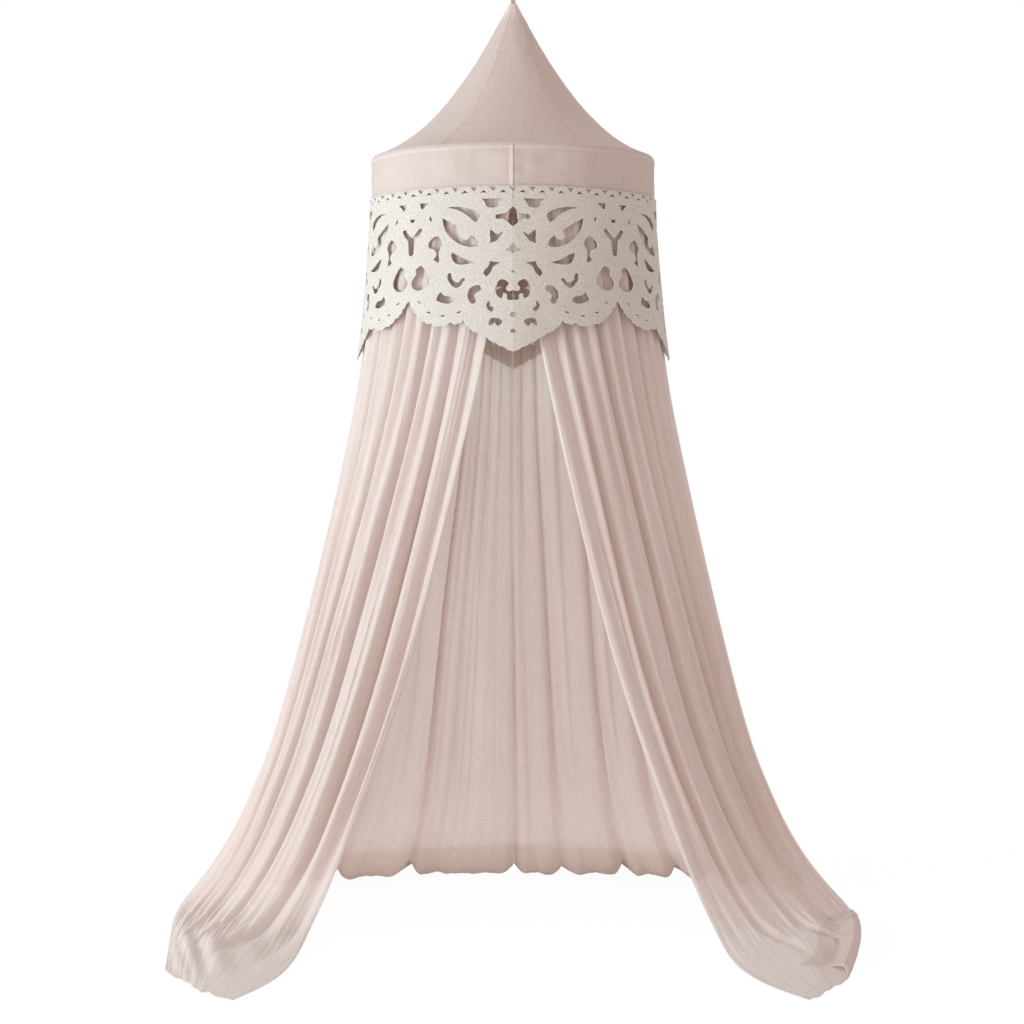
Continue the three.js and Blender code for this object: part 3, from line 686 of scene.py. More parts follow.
def makeGore(gore):
    rows = np.arange(len(roofLine))
    sector = 2 * math.pi / roof["gores"]
    girth = (roofLine[:, 0] * sector)[:, None]
    shares = np.broadcast_to(np.linspace(0, 1, roof["columns"]), (len(rows), roof["columns"]))
    underShare = np.minimum(roof["seamWidth"] / np.maximum(girth, 0.006), 0.3)
    across = np.concatenate([shares, 1 + underShare * np.linspace(0.35, 1, 3)], axis=1)
    folded = np.clip(across, 0, 1)
    belly = roofSlack[:, None] * np.sin(math.pi * folded)
    grid = roofSurface((gore + across - 0.5) * sector, rows, roof["slackShare"] * belly)
    normals = gridNormals(grid)
    if np.sum(normals * outwardFrom(grid)) < 0:
        normals = -normals
    fromEdge = np.minimum(folded, 1 - folded) * girth
    run = np.broadcast_to(roofRun[:, None], across.shape)
    rise = roof["seamRise"] * (1 - smoothStep((fromEdge - 0.004) / 0.002)) * smoothStep(fromEdge / 0.0012)
    pucker = softNoise(run, across, 40 + gore, 46, 2) * roof["pucker"]
    pucker = pucker * np.exp(-fromEdge / roof["puckerReach"])
    soft = softNoise(across, run, 60 + gore, 1.6, 5) * roof["softness"] * belly
    under = np.where(across > 1, -roof["underDrop"], 0)
    shift = (rise + pucker * smoothStep(run / 0.05) + soft + under) * smoothStep(run / 0.01)
    grid = grid + normals * shift[..., None]
    uv = np.stack([(across - 0.5) * girth + gore, run], -1)
    layersAndPaintedShade = 1 + 0.3 * (1 - smoothStep((fromEdge - 0.005) / 0.002)) + 2.5 * (1 - smoothStep(run / 0.05))
    piece = shell(
        f"roof_gore_cloth_{gore + 1}", grid, crown["sheetThickness"], uv, finishes["roofVoile"], layersAndPaintedShade,
        outwardFrom(grid))
    asPiece(piece, "roof_cloth", f"roof_gore_{gore + 1}")
    # The two rows of stitches that fell its seams
    offset = roof["stitchOffset"] / girth
    keep = (offset[:, 0] < 0.4) & (roofRun > 0.03)
    lines = []
    for share in (offset[keep], 1 - offset[keep]):
        slack = roof["slackShare"] * roofSlack[keep, None] * np.sin(math.pi * share)
        line = roofSurface((gore + share - 0.5) * sector, rows[keep], slack)[:, 0]
        lines.append(line + outwardFrom(line) * 0.0012)
    return lines


def makeRoof():
    lines = []
    for gore in range(roof["gores"]):
        lines += makeGore(gore)
    stitches("roof_seam_stitches", lines)
    print("roof made")


makeRoof()


# Crown band: a straight band with its front seam lapped left over right

band = {
    "columns": 420,
    "rows": 40,
    "inset": 0.0007,
    "lap": 0.009,
    "lapRise": 0.0016,
    "lapDrop": 0.0011,
    "wrinkle": 0.0016,
    "crease": 0.0004,
    "pull": 0.0015,
    "hemRise": 0.0007,
    "ridge": 0.005,
    "ridgeReach": 0.06,
}


# How far the band stands out beside its front seam
def seamRidge(fromSeam, z):
    fall = (hoopZ - z) / (hoopZ - crown["bandLowZ"])
    return band["ridge"] * np.exp(-np.abs(fromSeam) / band["ridgeReach"]) * smoothStep(fall * 4)


def makeBand():
    top, bottom = hoopZ - 0.0003, crown["bandLowZ"]
    length = np.concatenate([
        np.linspace(-band["lap"], 0.004, 10),
        np.linspace(0.004, ovalLength - 0.012, band["columns"])[1:],
        np.linspace(ovalLength - 0.012, ovalLength + 0.0006, 14)[1:],
    ])
    run, fall = np.meshgrid(length, np.linspace(0, 1, band["rows"]))
    z = blend(top, bottom, fall)
    belly = np.sin(math.pi * fall)
    pastSeam = np.where(run > ovalLength / 2, run - ovalLength, run)
    fromSeam = np.abs(pastSeam)
    seamFade = smoothStep(fromSeam / 0.03)
    wrinkles = softNoise(run, fall, 5, 14, 1.4, 9) * band["wrinkle"] * belly * seamFade
    creases = softNoise(run, fall, 8, 30, 0.5, 9) * band["crease"] * seamFade
    pulled = np.exp(-fromSeam / 0.06) * softNoise(pastSeam, fall, 11, 16, 3) * belly
    pulled = pulled * band["pull"] * (1 + smoothStep(pastSeam / 0.03))
    lapOver = band["lapRise"] * smoothStep((run - (ovalLength - 0.008)) / 0.005)
    lapUnder = -band["lapDrop"] * (1 - smoothStep(run / 0.003))
    hemTop = band["hemRise"] * (1 - smoothStep((fall - 0.03) / 0.02))
    rise = wrinkles + creases + pulled + lapOver + lapUnder + hemTop + seamRidge(fromSeam, z)
    grid = ovalPoints(angleAt(run), band["inset"] - rise, z)
    uv = np.stack([run, fall * (top - bottom)], -1)
    layersAndPaintedShade = 1 + 1.5 * (fromSeam < 0.008) + 1.0 * (fall < 0.06)
    piece = shell(
        "crown_band_cloth", grid, crown["sheetThickness"], uv, finishes["roofVoile"], layersAndPaintedShade,
        outwardFrom(grid))
    asPiece(piece, "roof_cloth", "crown_band")
    top - bottom
    around = np.linspace(0.004, ovalLength - 0.004, 700)
    seamFall = np.linspace(top - 0.004, bottom + 0.008, 30)
    seamAngle = np.full(30, angleAt(ovalLength - 0.0065))
    stitches("band_stitches", [
        ovalPoints(angleAt(around), -0.0011, top - 0.004),
        ovalPoints(seamAngle, -0.0016 - seamRidge(0.0065, seamFall), seamFall),
    ])
    print("band made")


makeBand()


# Casing, patch and tapes

casing = {
    "radius": 0.0071, "slit": 0.36, "ripple": 0.00025, "endGap": 0.0004, "columns": 360, "rows": 22,
}
patch = {
    "from": 0.012, "to": 0.046, "inset": 0.0021, "columns": 70, "flat": (0.15, 0.045), "area": 0.003,
}
tape = {"wave": 0.0002, "step": 0.005, "leastColumns": 8, "rows": 12}


def makeCasing():
    radius, slit = casing["radius"], casing["slit"]
    end = ovalLength / 2 - casing["endGap"]
    around = np.linspace(-end, end, casing["columns"])
    length, turn = np.meshgrid(around, np.linspace(-math.pi + slit, math.pi - slit, casing["rows"]))
    rippled = radius + casing["ripple"] * softNoise(length, turn, 21, 60, 1)
    centre = ovalPoints(angleAt(length), crown["hoopInset"], hoopZ)
    grid = ovalPoints(
        angleAt(length), crown["hoopInset"] - rippled * np.cos(turn), hoopZ + rippled * np.sin(turn))
    uv = np.stack([length, radius * turn], -1)
    piece = shell(
        "hoop_casing_cloth", grid, crown["sheetThickness"], uv, finishes["roofVoile"],
        np.full(grid.shape[:2], 2.0), grid - centre)
    asPiece(piece, "roof_cloth", "hoop_casing")


# A tape behind the band, between two heights and two lengths from the front seam
def makeTape(node, low, high, inset, fromLength, toLength):
    columns = max(tape["leastColumns"], int((toLength - fromLength) / tape["step"]))
    along, down = np.linspace(fromLength, toLength, columns), np.linspace(high, low, tape["rows"])
    length, z = np.meshgrid(along, down)
    waves = tape["wave"] * softNoise(length, z, 31, 40, 10)
    grid = ovalPoints(angleAt(length), inset + waves - seamRidge(length, z), z)
    uv = np.stack([high - z, length], -1)
    piece = shell(
        node + "_weave", grid, crown["sheetThickness"], uv, finishes["tape"], None, outwardFrom(grid))
    asPiece(piece, "tape", node)


def makeTapes():
    low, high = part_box("heading_tape")
    end = ovalLength / 2 - casing["endGap"]
    makeTape("heading_tape", low.z, high.z, crown["halfWidth"] - high.x + 0.0005, -end, end)
    low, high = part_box("band_seam_tape")
    makeTape("band_seam_tape", low.z, high.z, crown["halfDepth"] + low.y + 0.0004, low.x, high.x)


def makeTipPatch():
    rows = np.arange(len(roofLine))[(roofRun > patch["from"]) & (roofRun < patch["to"])]
    angle = np.linspace(-math.pi + 0.02, math.pi - 0.02, patch["columns"])[None, :]
    grid = roofSurface(angle, rows, 0.0)
    normals = unit(outwardFrom(grid) + np.array([0, 0, 0.45]))
    grid = grid - normals * patch["inset"]
    uv = np.stack(np.broadcast_arrays(angle * 0.02, roofRun[rows][:, None]), -1)
    piece = shell(
        "tip_patch_cloth", grid, crown["sheetThickness"], uv, finishes["roofVoile"],
        np.full(grid.shape[:2], 3.0), outwardFrom(grid))
    asPiece(piece, "roof_cloth", "tip_patch")


makeCasing()
makeTapes()
makeTipPatch()
print("casing and tapes made")


# Hanging loop: a stuffed strap folded into an eye, bound at the neck

strap = {
    "radius": 0.0025,
    "eyeRadius": 0.008,
    "strandGap": 0.00015,
    "neckDrop": 0.048,
    "tailRuns": (0.012, 0.045),
    "tailInset": (0.0052, 0.0022),
    "sides": 20,
    "turns": 11,
    "boundFrom": 0.047,
    "boundDepth": 0.009,
}


# The strap's path: up one strand from its tail inside the tip, round the eye and down the other
def strapPath():
    drop = strap["neckDrop"]
    turnRadius = strap["eyeRadius"] + strap["radius"]
    strand = strap["radius"] + strap["strandGap"]
    centreZ = strap["radius"] - turnRadius
    middle = (centreZ - drop) / 2
    knots = [(turnRadius, centreZ), (turnRadius, middle), (strand, middle), (strand, -drop)]
    parts = [bezier(knots, np.linspace(0, 1, 40)[:, None])]
    tails = [roofLine[np.argmin(np.abs(roofRun - run))] - strap["tailInset"] for run in strap["tailRuns"]]
    for end, first, steps in (((strand, crown["tipZ"]), 0.1, 12), (tails[0], 0.2, 5), (tails[1], 0.2, 5)):
        parts.append(blend(parts[-1][-1], np.array(end), np.linspace(first, 1, steps)[:, None]))
    half = np.concatenate(parts)
    turn = np.linspace(math.pi, 0, 42)[1:-1]
    arc = np.stack([turnRadius * np.cos(turn), centreZ + turnRadius * np.sin(turn)], -1)
    return np.concatenate([half[::-1] * (-1, 1), arc, half])


def makeLoop():
    radius, sides = strap["radius"], strap["sides"]
    path = strapPath()
    along = unit(np.gradient(path, axis=0))
    run = lengthAlong(path)
    turn = np.linspace(0, 2 * math.pi, sides + 1)[:-1]
    fromEnd = np.minimum(np.arange(len(path)), np.arange(len(path))[::-1])
    stuffed = radius * np.minimum(1, 0.35 + fromEnd / 4) * (1 + 0.03 * np.sin(run * 900))
    thick = stuffed[:, None] + 0.0003 * np.exp(-((turn - math.pi / 2) / 0.35) ** 2)
    out = thick * np.cos(turn)
    points = np.stack(
        [path[:, :1] + out * along[:, 1:], thick * np.sin(turn), path[:, 1:] - out * along[:, :1]], -1)
    uv = np.stack(np.broadcast_arrays(turn * radius, run[:, None]), -1)
    index = np.arange(len(path) * sides).reshape(-1, sides)
    after = np.roll(index, -1, axis=1)
    faces = np.stack([index[:-1], index[1:], after[1:], after[:-1]], -1).reshape(-1, 4).tolist()
    faces += [index[0].tolist(), index[-1, ::-1].tolist()]
    piece = addMesh(
        "hanging_loop_strap", points.reshape(-1, 3), faces, uv.reshape(-1, 2), finishes["tape"])
    asPiece(piece, "tape", "hanging_loop")
    # The binding thread wound round both strands at the neck
    t = np.linspace(0, 1, 260)
    turn = 2 * math.pi * strap["turns"] * t
    wound = radius + 0.0006
    z = -strap["boundFrom"] - strap["boundDepth"] * t
    coil = np.stack([(wound + radius) * np.cos(turn), wound * np.sin(turn), z], -1)
    stitches("neck_binding", [coil], pitch=0.0008, length=0.0016, radius=0.00042)
    print("loop made")


makeLoop()


# Valance: four stiff pierced panels

valance = {
    "drop": valanceHigh.z - valanceLow.z,
    "thickness": 0.002,
    "gap": 0.002,
    "flare": 0.027,
    "flareStartShare": 0.36,
    "spacing": 0.0055,
    "edgeSpacing": 0.0026,
    "rowCount": 11,
    "bump": 0.0165,
    "bumpRise": 0.002,
    "bumpSteps": 6,
    "slotLong": 0.0048,
    "slotWide": 0.0017,
    "wave": 0.0012,
    "ridge": 0.008,
    "ridgeReach": 0.07,
    "seamGap": 0.0004,
    "toothTop": 0.0025,
    "toothTip": 0.011,
    "toothHalf": 0.0075,
    "dart": ((0, 0.0085), (0.0078, 0.015), (0, 0.0137), (-0.0078, 0.015)),
}
panelWidth = ovalLength / 4

# The lower edge of half a panel, from a tip to the peak, as lobes between cusps: [across half the panel,
# down the drop, how far the lobe up to the next cusp bulges, as a share of its length]
lobeShares = [
    (0, 1.02, .015), (.292, .905, .1), (.435, .822, .2), (.555, .835, .16), (.743, .84, .13),
    (.85, .797, .1), (.935, .742, .06), (1, .672, 0),
]

# Closed cut-outs of half a panel
cutShares = {
    "underRow": [
        (.095, .08), (.19, .08), (.29, .08), (.265, .095), (.24, .13), (.145, .13), (.125, .105),
    ],
    "leaf": [
        (.085, .28), (.145, .3), (.175, .285), (.205, .27), (.21, .295), (.205, .335), (.21, .355),
        (.15, .34), (.11, .31),
    ],
    "tee": [
        (.105, .475), (.205, .465), (.22, .495), (.265, .535), (.235, .56), (.2, .535), (.175, .5),
        (.145, .485),
    ],
    "comma": [
        (.29, .62), (.315, .61), (.375, .625), (.405, .66), (.395, .7), (.36, .725), (.33, .715),
        (.335, .695), (.345, .675), (.32, .655), (.285, .64),
    ],
    "smallCurl": [
        (.21, .705), (.235, .73), (.22, .76), (.19, .775), (.17, .765), (.18, .745), (.2, .74),
        (.2, .72),
    ],
    "bean": [
        (.09, .835), (.115, .82), (.185, .815), (.21, .84), (.205, .865), (.185, .86), (.155, .84),
        (.14, .86), (.115, .86),
    ],
    "wingHigh": [
        (.31, .185), (.325, .165), (.4, .14), (.51, .125), (.61, .125), (.61, .13), (.535, .14),
        (.435, .175), (.375, .21), (.34, .225),
    ],
    "wingWide": [
        (.315, .37), (.33, .335), (.385, .3), (.4, .32), (.435, .33), (.47, .32), (.475, .295),
        (.46, .27), (.51, .25), (.585, .22), (.675, .19), (.645, .26), (.58, .315), (.48, .36),
        (.375, .375),
    ],
    "wingLow": [
        (.345, .47), (.42, .455), (.505, .425), (.565, .405), (.575, .42), (.55, .46), (.5, .48),
        (.415, .48),
    ],
    "hook": [
        (.43, .575), (.455, .565), (.495, .59), (.52, .59), (.555, .57), (.57, .535), (.595, .53),
        (.605, .56), (.575, .595), (.52, .625), (.47, .61), (.45, .59),
    ],
    "boat": [
        (.525, .7), (.565, .675), (.625, .67), (.66, .645), (.685, .665), (.705, .695), (.66, .71),
        (.595, .72), (.55, .715),
    ],
    "onion": [
        (.725, .3), (.785, .32), (.81, .345), (.8, .37), (.755, .38), (.73, .4), (.725, .42),
        (.755, .445), (.725, .455), (.7, .465), (.69, .45), (.7, .41), (.685, .375), (.665, .35),
        (.68, .325),
    ],
    "cornerHigh": [(.82, .09), (.92, .09), (.91, .115), (.89, .13), (.855, .11)],
    "seed": [(.8, .17), (.81, .19), (.79, .21), (.78, .2)],
    "tear": [
        (.88, .475), (.935, .5), (.93, .53), (.97, .565), (.975, .595), (.93, .625), (.87, .63),
        (.81, .61), (.785, .58), (.805, .535), (.84, .5),
    ],
}

# Cut-outs that cross a tip's seam, and those across the middle of a panel, as one half
seamShares = {
    "star": [
        (0, .13), (.04, .155), (.065, .17), (.15, .18), (.16, .19), (.15, .205), (.095, .205),
        (.05, .225), (0, .255),
    ],
    "diamond": [(0, .35), (.035, .38), (.07, .395), (.035, .405), (0, .42)],
    "dot": [(0, .522), (.016, .526), (.016, .534), (0, .538)],
    "scroll": [
        (0, .645), (.03, .65), (.055, .645), (.06, .625), (.045, .615), (.04, .6), (.075, .58),
        (.115, .58), (.145, .61), (.155, .64), (.14, .675), (.105, .695), (.09, .685), (.09, .665),
        (.06, .665), (.05, .685), (.055, .695), (.035, .705), (0, .705),
    ],
    "roundHigh": [(0, .778), (.018, .783), (.027, .795), (.018, .807), (0, .812)],
    "roundLow": [(0, .881), (.015, .886), (.021, .895), (.015, .904), (0, .909)],
}
middleShares = {
    "fork": [
        (1, .3), (.965, .28), (.91, .245), (.88, .255), (.91, .29), (.95, .315), (.965, .375),
        (.975, .405), (1, .415),
    ],
    "trio": [(1, .19), (.985, .18), (.97, .19), (.985, .205), (1, .205)],
    "dot": [(1, .536), (.994, .54), (1, .544)],
}
slotShares = [(.875, .705, 0.5), (.77, .77, 0.25), (.63, .795, 0.0), (.48, .775, -0.3)]


# From shares of half a panel's width and of the drop to metres
def sized(shares):
    return np.array(shares, dtype=float) * [panelWidth / 2, valance["drop"]]


# The same in the panel's other half
def flipped(run):
    return run * [-1, 1] + [panelWidth, 0]


# A smooth run through points, with sharp corners kept: open, or closed into a loop
def smoothRun(points, closed, spacing, cornerDegrees=78):
    points = np.asarray(points, dtype=float)
    count = len(points)
    inwards = unit(points - np.roll(points, 1, axis=0))
    outwards = unit(np.roll(points, -1, axis=0) - points)
    corner = np.sum(inwards * outwards, axis=1) < math.cos(math.radians(cornerDegrees))
    if not closed:
        corner[0] = corner[-1] = True
    result = []
    for k in range(count if closed else count - 1):
        after = (k + 1) % count
        start, end = points[k], points[after]
        chord = end - start
        reach = np.linalg.norm(chord)
        startWay = chord if corner[k] else unit(end - points[k - 1]) * reach
        endWay = chord if corner[after] else unit(points[(after + 1) % count] - start) * reach
        t = np.linspace(0, 1, max(2, int(round(reach / spacing))) + 1)[:-1, None]
        result.append(bezier([start, start + startWay / 3, end - endWay / 3, end], t))
    if not closed:
        result.append(points[-1:])
    return np.concatenate(result)


# The lobes along an edge: each an arc of small scallops that bulges downwards between two cusps
def lobedRun(lobes):
    cusps = sized([lobe[:2] for lobe in lobes])
    result = []
    for start, end, (_, _, bulge) in zip(cusps[:-1], cusps[1:], lobes):
        chord = end - start
        reach = np.linalg.norm(chord)
        sideways = np.array([-chord[1], chord[0]]) / reach
        bumps = max(1, int(round(reach / valance["bump"])))
        t = np.linspace(0, 1, bumps * valance["bumpSteps"] + 1)[:-1, None]
        rise = 4 * bulge * reach * t * (1 - t) + valance["bumpRise"] * abs(np.sin(math.pi * bumps * t))
        result.append(start + chord * t + sideways * rise)
    return np.concatenate([*result, cusps[-1:]])


def insideLoops(points, loops):
    inside = np.zeros(len(points), dtype=bool)
    x, y = points[:, 0][:, None], points[:, 1][:, None]
    for loop in loops:
        x1, y1 = loop[:, 0], loop[:, 1]
        x2, y2 = np.roll(x1, -1), np.roll(y1, -1)
        crosses = ((y1 > y) != (y2 > y)) & (x < (x2 - x1) * (y - y1) / (y2 - y1 + 1e-15) + x1)
        inside ^= (np.sum(crosses, axis=1) % 2).astype(bool)
    return inside


# The outline of one flat panel and its cut-outs
def panelLoops():
    width, spacing, gap = panelWidth, valance["edgeSpacing"], valance["seamGap"]
    pitch = width / valance["rowCount"]
    top, tip, half = valance["toothTop"], valance["toothTip"], valance["toothHalf"]
    side = [np.array([[0, 0], [0, top], [half, top], [gap, tip], [0, tip]])]
    # A row of triangles under the top edge, and a row of darts between them
    teeth = [
        smoothRun([(k * pitch - half, top), (k * pitch + half, top), (k * pitch, tip)], True, 0.004)
        for k in range(1, valance["rowCount"])]
    darts = [
        smoothRun([((k + 0.5) * pitch + x, y) for x, y in valance["dart"]], True, 0.003)
        for k in range(valance["rowCount"])]
    side += [smoothRun(sized(shares), False, spacing) for shares in seamShares.values()]
    side = np.concatenate([*side, lobedRun(lobeShares)])
    topEdge = np.array([[x, 0] for x in np.linspace(0, width, 160)[1:-1]])[::-1]
    outline = np.concatenate([side, flipped(side[:-1])[::-1], topEdge])
    keep = np.concatenate([[True], np.linalg.norm(np.diff(outline, axis=0), axis=1) > 1e-5])
    outline = outline[keep]
    outline[:, 0] = np.clip(outline[:, 0], gap, width - gap)
    cuts = []
    for shares in cutShares.values():
        loop = smoothRun(sized(shares), True, spacing)
        cuts += [loop, flipped(loop)]
    for shares in middleShares.values():
        run = smoothRun(sized(shares), False, spacing)
        cuts.append(np.concatenate([run, flipped(run[1:-1])[::-1]]))
    turn = np.linspace(0, 2 * math.pi, 13)[:-1]
    for *shares, tilt in slotShares:
        along, wide = valance["slotLong"] * np.cos(turn), valance["slotWide"] * np.sin(turn)
        x = along * math.cos(tilt) + wide * math.sin(tilt)
        y = wide * math.cos(tilt) - along * math.sin(tilt)
        loop = np.stack([x, y], -1) + sized([shares])
        cuts += [loop, flipped(loop)]
    return outline, cuts + teeth + darts


def panelTriangles(outline, cuts):
    loops = [outline, *cuts]
    border = np.concatenate(loops)
    spacing = valance["spacing"]
    grid = []
    for row, y in enumerate(np.arange(0.003, valance["drop"], spacing * 0.866)):
        grid += [(x, y) for x in np.arange(0.003 + (row % 2) * spacing / 2, panelWidth, spacing)]
    grid = np.array(grid)
    grid = grid[insideLoops(grid, loops)]
    nearest = np.full(len(grid), 9.0)
    for chunk in np.array_split(border, 12):
        nearest = np.minimum(nearest, np.linalg.norm(grid[:, None] - chunk[None], axis=2).min(axis=1))
    points = np.concatenate([border, grid[nearest > spacing * 0.42]])
    edges = []
    first = 0
    for loop in loops:
        edges += [(first + k, first + (k + 1) % len(loop)) for k in range(len(loop))]
        first += len(loop)
    vertices, _, faces, *_ = delaunay_2d_cdt([Vector(p) for p in points], edges, [], 0, 1e-7)
    vertices = np.array([tuple(v) for v in vertices])
    faces = np.array([f for f in faces if len(f) == 3])
    faces = faces[insideLoops(vertices[faces].mean(axis=1), loops)]
    a, b, c = (vertices[faces[:, k]] for k in range(3))
    area = (b - a)[:, 0] * (c - a)[:, 1] - (b - a)[:, 1] * (c - a)[:, 0]
    keep = np.abs(area) > 1e-10
    faces, area = faces[keep], area[keep]
    faces[area > 0] = faces[area > 0][:, ::-1]
    used, inverse = np.unique(faces, return_inverse=True)
    return vertices[used], inverse.reshape(-1, 3)


# How far the valance stands out from the band, lower down
def flareAt(share):
    start = valance["flareStartShare"]
    return valance["flare"] * (start * share + (1 - start) * share ** 2)


def valancePoints(length, down, out):
    share = down / valance["drop"]
    sway = softNoise(length, down, 71, 9, 5) * valance["wave"] * smoothStep(share)
    fromFront = np.minimum(length, ovalLength - length)
    ridge = blend(band["ridge"], valance["ridge"], smoothStep(share * 3))
    ridge = ridge * np.exp(-fromFront / valance["ridgeReach"])
    inset = -(valance["gap"] + flareAt(share) + sway + ridge + out)
    return ovalPoints(angleAt(length), inset, crown["valanceTopZ"] - down)


def makePanel(name, offset, flat, faces):
    count = len(flat)
    edges = {tuple(edge) for k in range(3) for edge in faces[:, [k, (k + 1) % 3]].tolist()}
    rim = [edge for edge in edges if edge[::-1] not in edges]
    lengths = flat[:, 0] + offset
    points = np.concatenate([
        valancePoints(lengths, flat[:, 1], valance["thickness"]), valancePoints(lengths, flat[:, 1], 0)])
    solid = faces.tolist() + (faces[:, [0, 2, 1]] + count).tolist()
    solid += [(b, a, a + count, b + count) for a, b in rim]
    uv = np.concatenate([flat, flat])
    piece = addMesh(f"valance_felt_{name}", points, solid, uv, finishes["felt"])
    piece.data.materials.append(finishes["cutEdge"])
    slots = np.zeros(len(solid), dtype=np.int32)
    slots[2 * len(faces):] = 1
    piece.data.polygons.foreach_set("material_index", slots)
    asPiece(piece, "felt", f"valance_{name}")


def makeValance():
    flat, faces = panelTriangles(*panelLoops())
    for quarter, name in enumerate(("front_right", "rear_right", "rear_left", "front_left")):
        makePanel(name, quarter * panelWidth, flat, faces)
    lines = []
    for length in np.arange(0.012, ovalLength, panelWidth / valance["rowCount"] / 2):
        lengths = np.linspace(length - 0.0022, length + 0.0022, 3)
        lines.append(valancePoints(lengths, np.full(3, 0.0013), valance["thickness"] + 0.0004))
    stitches("valance_tacks", lines, pitch=0.0044, length=0.004, radius=0.0003, slotName="felt")
    print("valance made")


makeValance()


# Drapes: gathered on the hoop, swept out and laid on the floor

cloth = {
    "thickness": 0.0006,
    "hemThickness": 0.0015,
    "hemShare": 0.014545,
    "hemDepth": 0.015,
    "cutWidth": 0.62,
    "cutLength": 2.18,
    "columns": 214,
    "rows": 214,
    "spread": 0.7,
    "trail": 0.6,
    "bowShare": 0.16,
    "landing": 0.07,
    "landingBlur": (0.085, 0.04),
    "edgeClear": 0.0015,
    "openGap": 0.002,
    "seamAllowance": 0.008,
    "topInset": 0.0033,
    "gather": 0.002,
    "hangFold": 0.012,
    "lowFold": 0.03,
    "foldGrowth": 1.8,
    "settleShare": 0.16,
    "floorFold": 0.01,
    "floorFade": 0.93,
    "puddle": 0.018,
    "creaseTight": 0.12,
    "creaseGrown": 0.45,
    "creaseWander": 0.014,
    "lobeRise": 0.02,
    "smallFoldShare": 0.06,
    "pleat": 0.0006,
    "lump": 0.0035,
    "wrinkle": 0.0009,
    "hemWave": 0.007,
}
# How far the cloth has swept out from the hoop to its foot: [share left to hang, share swept]
sideSweepShares = [
    (1, 0), (.93, .004), (.864, .022), (.779, .055), (.718, .09), (.576, .185), (.435, .285), (.29, .4),
    (.2, .485), (.15, .555), (.1, .65), (.05, .79), (.02, .91), (0, 1),
]
openSweepShares = [
    (1, 0), (.95, .005), (.93, .018), (.9, .044), (.864, .079), (.779, .135), (.688, .209), (.442, .415),
    (.313, .538), (.242, .63), (.156, .742), (.073, .873), (0, 1),
]

# Each drape: where its edges land, in shares of the spread, and where they trail to, in shares of the
# trail, or where its hem lies: [across, x, y]. Its creases go from the open edge to the side: [across at
# the top, across low down, depth at the top, depth low down]. On the floor they fan out to the side
frontLie = {"rear": False, "narrow": 1, "lean": 0.2, "layersAndPaintedShade": 1.8, "openFoot": (.567, -.536)}
rearLie = {
    "rear": True, "narrow": 4, "lean": 0.5, "layersAndPaintedShade": 1.2, "fan": 0,
    "openFoot": (0, .543), "openTrail": (0, .877), "sideFoot": (.927, .13), "sideTrail": (-.1, .915),
}
drapes = {
    "front_left": {
        **frontLie, "side": -1, "seed": 3, "fan": 0.3,
        "sideFoot": (1.005, -.13),
        "hem": [
            (0, .482, -.971), (.26, .536, -.905), (.63, .585, -.81), (.9, .628, -.725), (1, .636, -.7),
        ],
        "creases": [
            (-.04, -.04, .6, .6), (.07, .07, .5, .45), (.18, .21, .9, .9), (.26, .31, .7, .03),
            (.34, .4, 1, 1), (.43, .49, .8, .03), (.52, .57, 1, 1), (.62, .64, .8, .05),
            (.71, .71, 1, .9), (.8, .79, .7, .05), (.88, .87, .8, .6), (1.03, 1.03, .8, .8),
        ],
    },
    "front_right": {
        **frontLie, "side": 1, "seed": 9, "fan": 0.25,
        "sideFoot": (.998, -.13),
        "hem": [
            (0, .508, -.97), (.22, .541, -.907), (.45, .57, -.839), (.68, .604, -.757),
            (.8, .628, -.738), (1, .69, -.733),
        ],
        "creases": [
            (-.05, -.05, .6, .6), (.08, .1, .6, .05), (.16, .19, .9, .7), (.25, .29, .7, .1),
            (.34, .4, 1, 1), (.43, .48, .8, .05), (.52, .55, .8, .5), (.61, .64, 1, 1),
            (.7, .73, .7, .05), (.8, .82, .9, .7), (.9, .91, .7, .3), (1.04, 1.04, .8, .8),
        ],
        "turnedCorner": {
            "place": (.69, -.29), "along": (-.173, -.985), "bulge": .012, "reach": .07, "lift": .016,
        },
    },
    "rear_left": {
        **rearLie, "side": -1, "seed": 14,
        "creases": [
            (0, 0, .95, .9), (.05, .09, .5, .06), (.1, .16, .8, .1), (.14, .22, .9, .12),
            (.2, .31, .9, 1), (.34, .42, .7, .15), (.48, .55, .8, .9), (.66, .68, .8, .8),
            (.84, .84, .8, .8), (1.02, 1.02, 1, 1),
        ],
    },
    "rear_right": {
        **rearLie, "side": 1, "seed": 22,
        "creases": [
            (0, 0, .95, .9), (.06, .06, .8, .08), (.11, .15, .9, .6), (.2, .24, .8, .12),
            (.28, .34, .9, 1), (.37, .42, .6, .12), (.44, .5, .8, .8), (.6, .64, .8, .8),
            (.8, .82, .8, .8), (1.02, 1.02, 1, 1),
        ],
    },
}


def fromTable(table, at):
    shares, values = np.array(table)[::-1].T
    return np.interp(at, shares, values)


def blurRows(grid, sigma):
    reach = int(sigma * 3) + 1
    weights = np.exp(-0.5 * (np.arange(-reach, reach + 1) / sigma) ** 2)
    weights /= weights.sum()
    before, after = grid[reach:0:-1], grid[-2:-reach - 2:-1]
    padded = np.concatenate([2 * grid[:1] - before, grid, 2 * grid[-1:] - after])
    result = np.zeros_like(grid)
    for k, weight in enumerate(weights):
        result += weight * padded[k:k + len(grid)]
    return result


